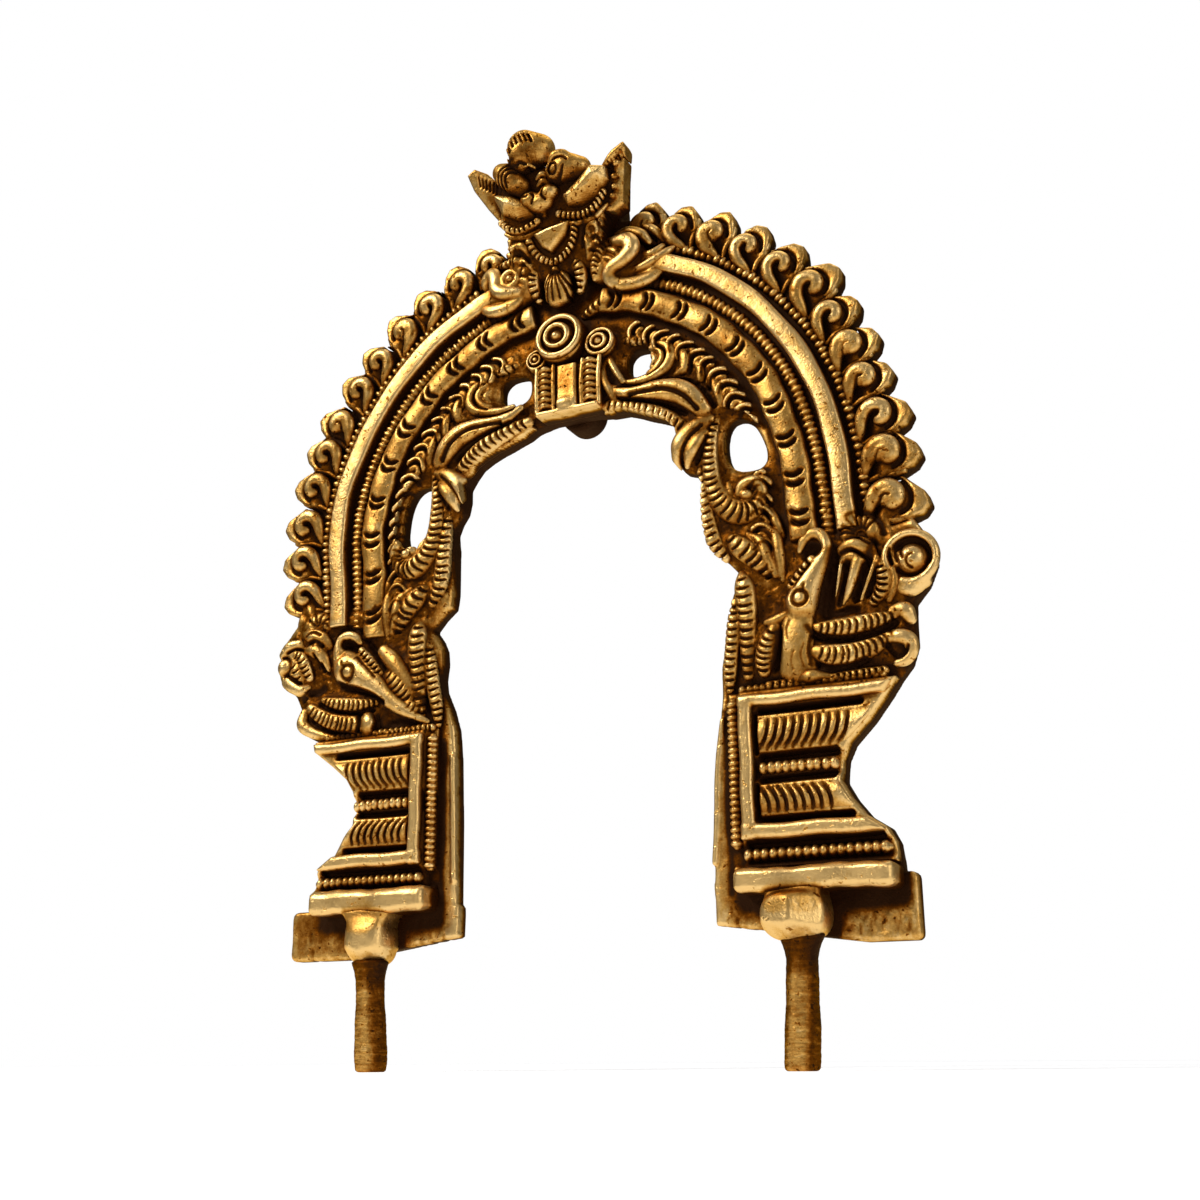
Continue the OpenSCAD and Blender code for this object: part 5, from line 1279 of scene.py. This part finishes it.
def base_slab(s):
    c, X, Z, H = ped_wax(20.8, 19.4, 44.8, 25.6, 5.6, 0.18)
    wave = 0.12 * np.sin(X * 0.45 + 1) + 0.05 * np.sin(X * 1.7)
    slope = 0.35 * np.clip(Z - 23, 0, 2) + 0.1 * np.sin(X * 0.4) - 0.15 * np.sin(X * 0.9 + 2)
    x0, x1, z0, z1 = (22.9, 43.1, 20.6, 23.6) if s > 0 else (21.7, 40.4, 20.7, 24.1)
    c.fill(solid(box_sd(X, Z + wave, x0, x1, z0, z1, 0.9), H + slope, -5, 4.5, 0.9))
    # painted shadow under the slab, and a dark line along the leg
    c.cut([(x0 + 0.3, 19.6), (x1 - 0.3, 19.6)], 1.15, 0, ink=1.9)
    c.cut([(21.2, 21), (21.35, 26), (21.05, 31), (21.3, 37), (21.1, 44)], 0.34, 0, ink=1)
    one_side("base_slab", c, s)


def flats(d, dx, dz, dh, planes):
    """A lump with hammered flats, each given by its direction and distance."""
    for nx, nz, nh, m in planes:
        d = -merge(-d, m - dx * nx - dz * nz - dh * nh, 0.4)
    return d


def boss_right(X, Z, H):
    """A rounded lump, creased where it meets the slab."""
    dx, dz, dh = X - 30.4, Z - 17.7, H - 2.5
    planes = ((-0.3, 0.1, 0.95, 3.75), (0.5, 0.1, 0.86, 3.5), (0.25, -0.7, 0.66, 3.4),
              (-0.35, -0.72, 0.6, 3.4))
    lump = flats(superball(dx, dz, dh, (4.1, 3, 4.5), 2.6, 3.8), dx, dz, dh, planes)
    neck = solid(np.maximum(np.abs(dx) - 3.5, np.abs(Z - 19.8) - 2.4), H, -3, 4.2, 0.6)
    return merge(lump, neck, 0.7)


def boss_left(X, Z, H):
    """A rounded block that hangs from the slab like the stem of a T."""
    dx, dz, dh = X - 31, Z - 16.9, H - 2
    planes = ((0.4, -0.7, 0.6, 3.2), (-0.3, -0.74, 0.6, 3.2))
    lump = flats(superball(dx, dz, dh, (3.2, 3.3, 3.3), 2.8, 3.1), dx, dz, dh, planes)
    side = np.abs(dx) - 2.8 - 0.3 * np.clip(Z - 18.8, 0, 2) ** 1.8
    return merge(lump, solid(np.maximum(side, np.abs(Z - 19) - 2.6), H, -3, 4.3, 0.8), 0.9)


def peg_boss(s, boss):
    c = Clay((24.6, 9, -2.2), (37, 24, 8), 0.17)
    X, Z, H = c.axes()
    c.fill(np.maximum(boss(X, Z, H), -2 - H))
    one_side("peg_boss", c, s, None)


def peg(s, x, foot):
    """A round peg with its axis at Y 0; it widens to both sides towards the foot of the boss."""
    c = Clay((25.4, -0.6, -2.2), (36, 18, 7.4), 0.18)
    X, Z, H = c.axes()
    r = 1.92 + 0.24 * np.exp(-((Z - 3) / 4.2) ** 2) + 0.03 * np.sin(Z * 1.3 + s)
    r = r + 0.05 * np.cos(5 * np.arctan2(H - FACE, X - x) + 0.3 * Z)
    flare = 0.09 * np.clip(Z - foot + 2.2, 0, 2.8) ** 1.6
    d = np.hypot((X - x + 0.045 * (12 - Z)) / (1 + flare), H - FACE) - r
    pits = 0.035 * np.sin(X * 5.1 + 2 * np.sin(Z * 2.3)) * np.sin(Z * 6.1 + 2 * np.sin(X * 2.7 + H * 3.1))
    c.fill(np.maximum(solid(d + pits, Z, 0, foot + 0.9, 0.45), -1.9 - H))
    one_side("peg", c, s, None)


# All pieces, in the order of their random draws

rear_lug()
# the ribbons reach further down on the left
for side, drop in ((1, 0), (-1, 4)):
    band(side, -12 - drop)
    bead_ring("outer_beads", side, OUTER_BEADS_R, -12.5, 68, 1.1, (0.8, 0.52, 0.6))
    bead_ring("inner_beads", side, INNER_BEADS_R, -14 - 1.3 * drop, 71.5, 0.95, (0.95, 0.45, 0.5))
    ringed_rod(side, -15 - 2 * drop)
    vine_cord(side, -18 - drop)
for side in SIDES:
    flames(side)
for make in (keystone_block, keystone_columns, rosettes):
    make()
for side in SIDES:
    scroll_leaf(side)
for make in (volute, rib_strips, mask_core, mask_crest, mask_eyes, mask_ears, mask_cheeks, mask_nose,
             mask_tongue, mask_beads, mask_beard, makara_right, makara_left, bird_head_right,
             bird_plumes_right, bird_tail_right, bird_feathers_right, bird_head_left, bird_plumes_left,
             bird_tail_left, bird_feathers_left):
    make()
for side in SIDES:
    for make in (ped_block, ped_rail, ped_flutes, ped_beads, base_slab):
        make(side)
# x of each peg, and where its boss ends
for side, x, foot, boss in ((1, 30.9, 14.8, boss_right), (-1, 30.5, 13.6, boss_left)):
    peg_boss(side, boss)
    peg(side, x, foot)
back_plate()

# Brass

# height of the map where there is no piece, just behind the plate
NOTHING = -2.6
top = height_map(NOTHING)
near, far = blur(top, 0.6), blur(top, 1.9)
# dirt on open metal, and the darkening that near hollows, wide hollows and grooves add to it, partly patina
# and dirt, partly painted shade
OPEN_DIRT = 0.34
NEAR_HOLLOW = 0.68
WIDE_HOLLOW = 0.13
GROOVE_DIRT_AND_SHADE = 0.54
# from rubbed metal to black: colour, roughness and metallic against the amount of dirt, patina and painted
# shade
BRASS = [(0, (0.82, 0.53, 0.195)), (0.2, (0.61, 0.328, 0.075)), (0.4, (0.34, 0.136, 0.019)),
         (0.56, (0.165, 0.048, 0.003)), (0.74, (0.07, 0.019, 0.001)), (1, (0.028, 0.008, 0.002))]
ROUGH = [(0, 0.35), (0.4, 0.42), (0.7, 0.54), (1, 0.7)]
METAL = [(0, 1), (0.6, 1), (1, 0.8)]
GLINT = (1, 0.74, 0.4, 1)


def node(nt, kind, **settings):
    """A shader node with its settings; a setting that is a socket gets linked."""
    n = nt.nodes.new("ShaderNode" + kind)
    for key, value in settings.items():
        name = key.replace("_", " ")
        if name not in n.inputs:
            setattr(n, key, value)
        elif isinstance(value, bpy.types.NodeSocket):
            nt.links.new(value, n.inputs[name])
        else:
            n.inputs[name].default_value = value
    return n


def ramp(nt, fac, stops):
    """A colour ramp; a stop is a place and a colour or grey."""
    n = node(nt, "ValToRGB", Fac=fac)
    e = n.color_ramp.elements
    while len(e) < len(stops):
        e.new(0.5)
    for k, (place, colour) in enumerate(stops):
        e[k].position = place
        e[k].color = (*colour, 1) if isinstance(colour, tuple) else (colour, colour, colour, 1)
    return n.outputs[0]


def math_node(nt, op, a, b):
    n = node(nt, "Math", operation=op)
    for k, v in enumerate((a, b)):
        if isinstance(v, (int, float)):
            n.inputs[k].default_value = v
        else:
            nt.links.new(v, n.inputs[k])
    return n.outputs[0]


def add(nt, total, *terms):
    """Adds sockets to a total, each with its weight."""
    for socket, weight in terms:
        total = math_node(nt, "ADD", total, math_node(nt, "MULTIPLY", socket, weight))
    return total


def brass(name, shift, mottle, marks=False):
    """Cast brass: pale where hands have rubbed it and where highlights are painted, brown to black where
    dirt, patina and painted shade lie.
    """
    m = bpy.data.materials.new(name)
    m.use_nodes = True
    nt = m.node_tree
    nt.nodes.clear()
    co = node(nt, "TexCoord").outputs["Object"]
    low = node(nt, "Attribute", attribute_name="recess").outputs["Fac"]

    def noise(scale, detail, rough=0.6):
        return node(nt, "TexNoise", Scale=scale, Detail=detail, Roughness=rough, Vector=co).outputs["Fac"]

    def swing(socket):
        return math_node(nt, "SUBTRACT", socket, 0.5)
    big, mid, fine = noise(170, 4), noise(800, 5), noise(3400, 3)
    pits = ramp(nt, noise(1500, 1), [(0.65, 0), (0.73, 1)])
    f = add(nt, low, (swing(big), mottle), (swing(mid), mottle), (swing(fine), mottle * 0.6), (pits, 0.34))
    f = math_node(nt, "ADD", f, shift)
    height = add(nt, mid, (fine, 0.4), (pits, -0.5))
    if marks:
        # short marks that run round the peg
        squeeze = node(nt, "Mapping", Scale=(0.16, 0.16, 1), Vector=co).outputs["Vector"]
        lines = node(nt, "TexNoise", Scale=2600, Detail=3, Vector=squeeze).outputs["Fac"]
        f = add(nt, f, (swing(lines), 0.45))
        height = add(nt, height, (lines, 0.9))
    bump = node(nt, "Bump", Strength=0.7, Distance=0.00015, Height=height)
    bsdf = node(nt, "BsdfPrincipled", Base_Color=ramp(nt, f, BRASS), Roughness=ramp(nt, f, ROUGH),
                Metallic=ramp(nt, f, METAL), Specular_Tint=GLINT, Normal=bump.outputs[0])
    node(nt, "OutputMaterial", Surface=bsdf.outputs[0])
    return m


finish = {
    "plate_brass": brass("plate_brass", 0.15, 0.55),
    "polished_brass": brass("polished_brass", -0.1, 0.4),
    "aged_brass": brass("aged_brass", 0.02, 0.5),
    "filed_brass": brass("filed_brass", 0.02, 0.45, True),
    # duller, darker brass; on the ears its darkening is partly painted shade for their side walls
    "dull_shaded_brass": brass("dull_shaded_brass", 0.2, 0.55),
}
SHINY = ("band_", "ped_rail_", "base_slab_", "flames_", "peg_boss_", "mask_tongue", "mask_cheeks",
         "mask_eyes", "mask_nose", "ringed_rod_", "makara_", "bird_head_", "bird_tail_", "rosette_centre",
         "rosettes_side")
PEGS = ("peg_left", "peg_right")


def slot_of(name):
    if name in ("back_plate", "rear_lug", "mask_core"):
        return "plate_brass"
    return "polished_brass" if name.startswith(SHINY) else "aged_brass"


def look_of(name):
    """Finish of a piece, which may differ from the rest of its slot."""
    if name in PEGS:
        return "filed_brass"
    # crest, eyes and ears: duller brass, with painted shade on the ears
    if name in ("mask_crest", "mask_eyes", "mask_ears"):
        return "dull_shaded_brass"
    if name in ("mask_core", "mask_nose") or name.startswith(("flames_", "ringed_rod_")):
        return "aged_brass"
    return slot_of(name)


def depth(pts):
    """How deep each point lies below its surroundings, and in what dirt; what it adds is partly patina and
    dirt, partly painted shade.
    """
    here, there = cells(pts[:, 0], pts[:, 1], CELL), cells(pts[:, 0], pts[:, 1], DIRT_AND_SHADE_CELL)
    h = pts[:, 2]
    # darker in near and wide hollows and in inked grooves: patina and dirt, and painted shade
    hollow = NEAR_HOLLOW * (near[here] - h)
    return OPEN_DIRT + hollow + WIDE_HOLLOW * (far[here] - h) + GROOVE_DIRT_AND_SHADE * dirt_and_shade[there]


def recess(name, pts, normal):
    """Dirt, patina and painted shade on each point of a piece, from 0 where hands rub and where highlights
    are painted, to 1 in the deepest grooves.
    """
    x, z = pts[:, 0], pts[:, 1]
    # dirt, patina and painted shade from depth(), and more painted shade on faces turned downwards
    low = np.clip(depth(pts) + 0.28 * np.clip(-normal[:, 2], 0, 1), 0, 1)
    if name in PEGS:
        # painted highlight down the front, painted shade on both flanks and painted shadow under the boss
        turn = np.degrees(np.arctan2(normal[:, 0], -normal[:, 1]))
        flank = np.clip((np.abs(turn + 6) - 18) / 40, 0, 1)
        low = 0.25 + 0.36 * flank + 0.4 * np.clip((z - 10.4) / 3.2, 0, 1)
    if name == "back_plate":
        # the legs are rubbed along the opening
        low = low - 0.24 * (np.clip((21.2 - np.abs(x)) / 0.8, 0, 1) * np.clip((47 - z) / 3, 0, 1))
    if name == "mask_core":
        low = 0.92 * low
    if name.startswith("peg_boss"):
        # the boss is painted lighter for its pale highlights, with painted shade in the crease under the
        # slab
        crease = 0.3 if name.endswith("right") else 0.05
        low = np.minimum(low, 0.4) - 0.1 + crease * np.exp(-((z - 20.6) / 0.7) ** 2)
    if name.startswith("base_slab"):
        # the slab is painted lighter for its pale highlights
        low = low - 0.08
    if "_beads_" in name and not name.startswith("ped_"):
        # more contrast in the dirt and painted shade between the beads
        low = 0.3 + 1.3 * (low - 0.4)
    # faces turned to the back get at most a middling amount of dirt and painted shade
    back = np.clip((normal[:, 1] - 0.1) / 0.6, 0, 1)
    return low * (1 - back) + np.minimum(low, 0.45) * back


def cast(name, pts, quads):
    """Makes the mesh of a piece in metres and hands it to the frame."""
    me = bpy.data.meshes.new(name + "_cast")
    xyz = np.stack([pts[:, 0] - lean(pts[:, 1]), FACE - pts[:, 2], pts[:, 1] - SEAT], 1) / 1000
    me.vertices.add(len(xyz))
    me.vertices.foreach_set("co", xyz.astype(np.float32).ravel())
    me.loops.add(quads.size)
    me.loops.foreach_set("vertex_index", quads.astype(np.int32).ravel())
    me.polygons.add(len(quads))
    me.polygons.foreach_set("loop_start", np.arange(0, quads.size, 4, dtype=np.int32))
    me.polygons.foreach_set("use_smooth", np.ones(len(quads), bool))
    me.update(calc_edges=True)
    me.validate()
    normal = np.zeros(xyz.size, np.float32)
    me.vertices.foreach_get("normal", normal)
    low = recess(name, pts, normal.reshape(-1, 3))
    me.attributes.new("recess", "FLOAT", "POINT").data.foreach_set("value", low.astype(np.float32))
    me.materials.append(finish[look_of(name)])
    ob = bpy.data.objects.new(name + "_cast", me)
    bpy.context.collection.objects.link(ob)
    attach(ob, "root")
    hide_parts(name)


for name, (pts, quads) in shapes.items():
    cast(name, pts, quads)


# Floor, light and camera, in metres

FLOOR_R = 0.34
FLOOR_SIDES = 96
# what the lamps point at
MIDDLE = (0, 0, 0.05)
# camera fitted to the photo: direction and distance from the point it looks at, focal length in pixels
YAW = math.radians(26.2)
PITCH = math.radians(-17.0)
ROLL = math.radians(-0.37)
DIST = 0.2063
AIM = np.array([0.0030, 0.0031, 0.0469])
FOCAL_PX = 1499.0
PHOTO_PX = 1200.0
SENSOR = 36.0


def floor_disc():
    me = bpy.data.meshes.new("floor")
    turns = np.linspace(0, 2 * math.pi, FLOOR_SIDES, endpoint=False)
    ring = [(FLOOR_R * math.cos(a), FLOOR_R * math.sin(a), -SEAT / 1000) for a in turns]
    me.from_pydata(ring, [], [tuple(range(FLOOR_SIDES))])
    paper = bpy.data.materials.new("floor")
    paper.use_nodes = True
    nt = paper.node_tree
    nt.nodes.clear()
    grey = ramp(nt, node(nt, "TexNoise", Scale=40).outputs["Fac"], [(0.3, 0.86), (0.7, 0.89)])
    bsdf = node(nt, "BsdfPrincipled", Base_Color=grey, Roughness=0.9, Specular_IOR_Level=0.1,
                Emission_Color=(1, 1, 1, 1), Emission_Strength=0.5)
    node(nt, "OutputMaterial", Surface=bsdf.outputs[0])
    me.materials.append(paper)
    floor = bpy.data.objects.new("floor", me)
    bpy.context.collection.objects.link(floor)


def studio():
    """White behind the object; the metal reflects a room that is bright above and dark below."""
    world = bpy.data.worlds.new("studio")
    bpy.context.scene.world = world
    world.use_nodes = True
    nt = world.node_tree
    nt.nodes.clear()
    axes = node(nt, "SeparateXYZ", Vector=node(nt, "TexCoord").outputs["Generated"])
    up = math_node(nt, "ADD", math_node(nt, "MULTIPLY", axes.outputs["Z"], 0.5), 0.5)
    tones = [(0, (0.03, 0.027, 0.024)), (0.45, (0.05, 0.047, 0.044)), (0.62, (0.14, 0.137, 0.134)),
             (1, (0.34, 0.34, 0.345))]
    room = node(nt, "Background", Color=ramp(nt, up, tones))
    plain = node(nt, "Background", Color=(1, 1, 1, 1))
    mix = node(nt, "MixShader", Fac=node(nt, "LightPath").outputs["Is Camera Ray"])
    for shader, way in zip((room, plain), mix.inputs[1:]):
        nt.links.new(shader.outputs[0], way)
    node(nt, "OutputWorld", Surface=mix.outputs[0])


def stand(name, data, where, right, up, back):
    """An object at a place, with the directions of its axes."""
    o = bpy.data.objects.new(name, data)
    bpy.context.collection.objects.link(o)
    o.matrix_world = Matrix(np.stack([right, up, back, where], 1).tolist() + [[0, 0, 0, 1]])
    return o


def lamp(name, where, size, power):
    """A round lamp that points at the middle of the object."""
    light = bpy.data.lights.new(name, "AREA")
    light.shape = "DISK"
    light.size = size
    light.energy = power
    back = np.array(where) - np.array(MIDDLE)
    back = back / np.linalg.norm(back)
    right = np.cross((0, 0, 1), back)
    right = right / np.linalg.norm(right)
    stand(name, light, where, right, np.cross(back, right), back)


def camera():
    back = np.array([math.sin(YAW) * math.cos(PITCH), -math.cos(YAW) * math.cos(PITCH), math.sin(PITCH)])
    right = np.array([math.cos(YAW), math.sin(YAW), 0])
    up = np.cross(back, right)
    right, up = right * math.cos(ROLL) + up * math.sin(ROLL), up * math.cos(ROLL) - right * math.sin(ROLL)
    cam = bpy.data.cameras.new("camera")
    cam.lens = FOCAL_PX / PHOTO_PX * SENSOR
    cam.sensor_width = SENSOR
    cam.clip_start = 0.005
    cam.clip_end = 20
    bpy.context.scene.camera = stand("camera", cam, AIM + back * DIST, right, up, back)
    bpy.context.scene.view_settings.view_transform = "Standard"


floor_disc()
studio()
lamp("key", (-0.31, -0.38, 0.44), 0.26, 2.35)
lamp("fill", (0.46, -0.3, 0.2), 0.24, 0.55)
lamp("top", (0.05, 0.1, 0.6), 0.4, 0.65)
camera()
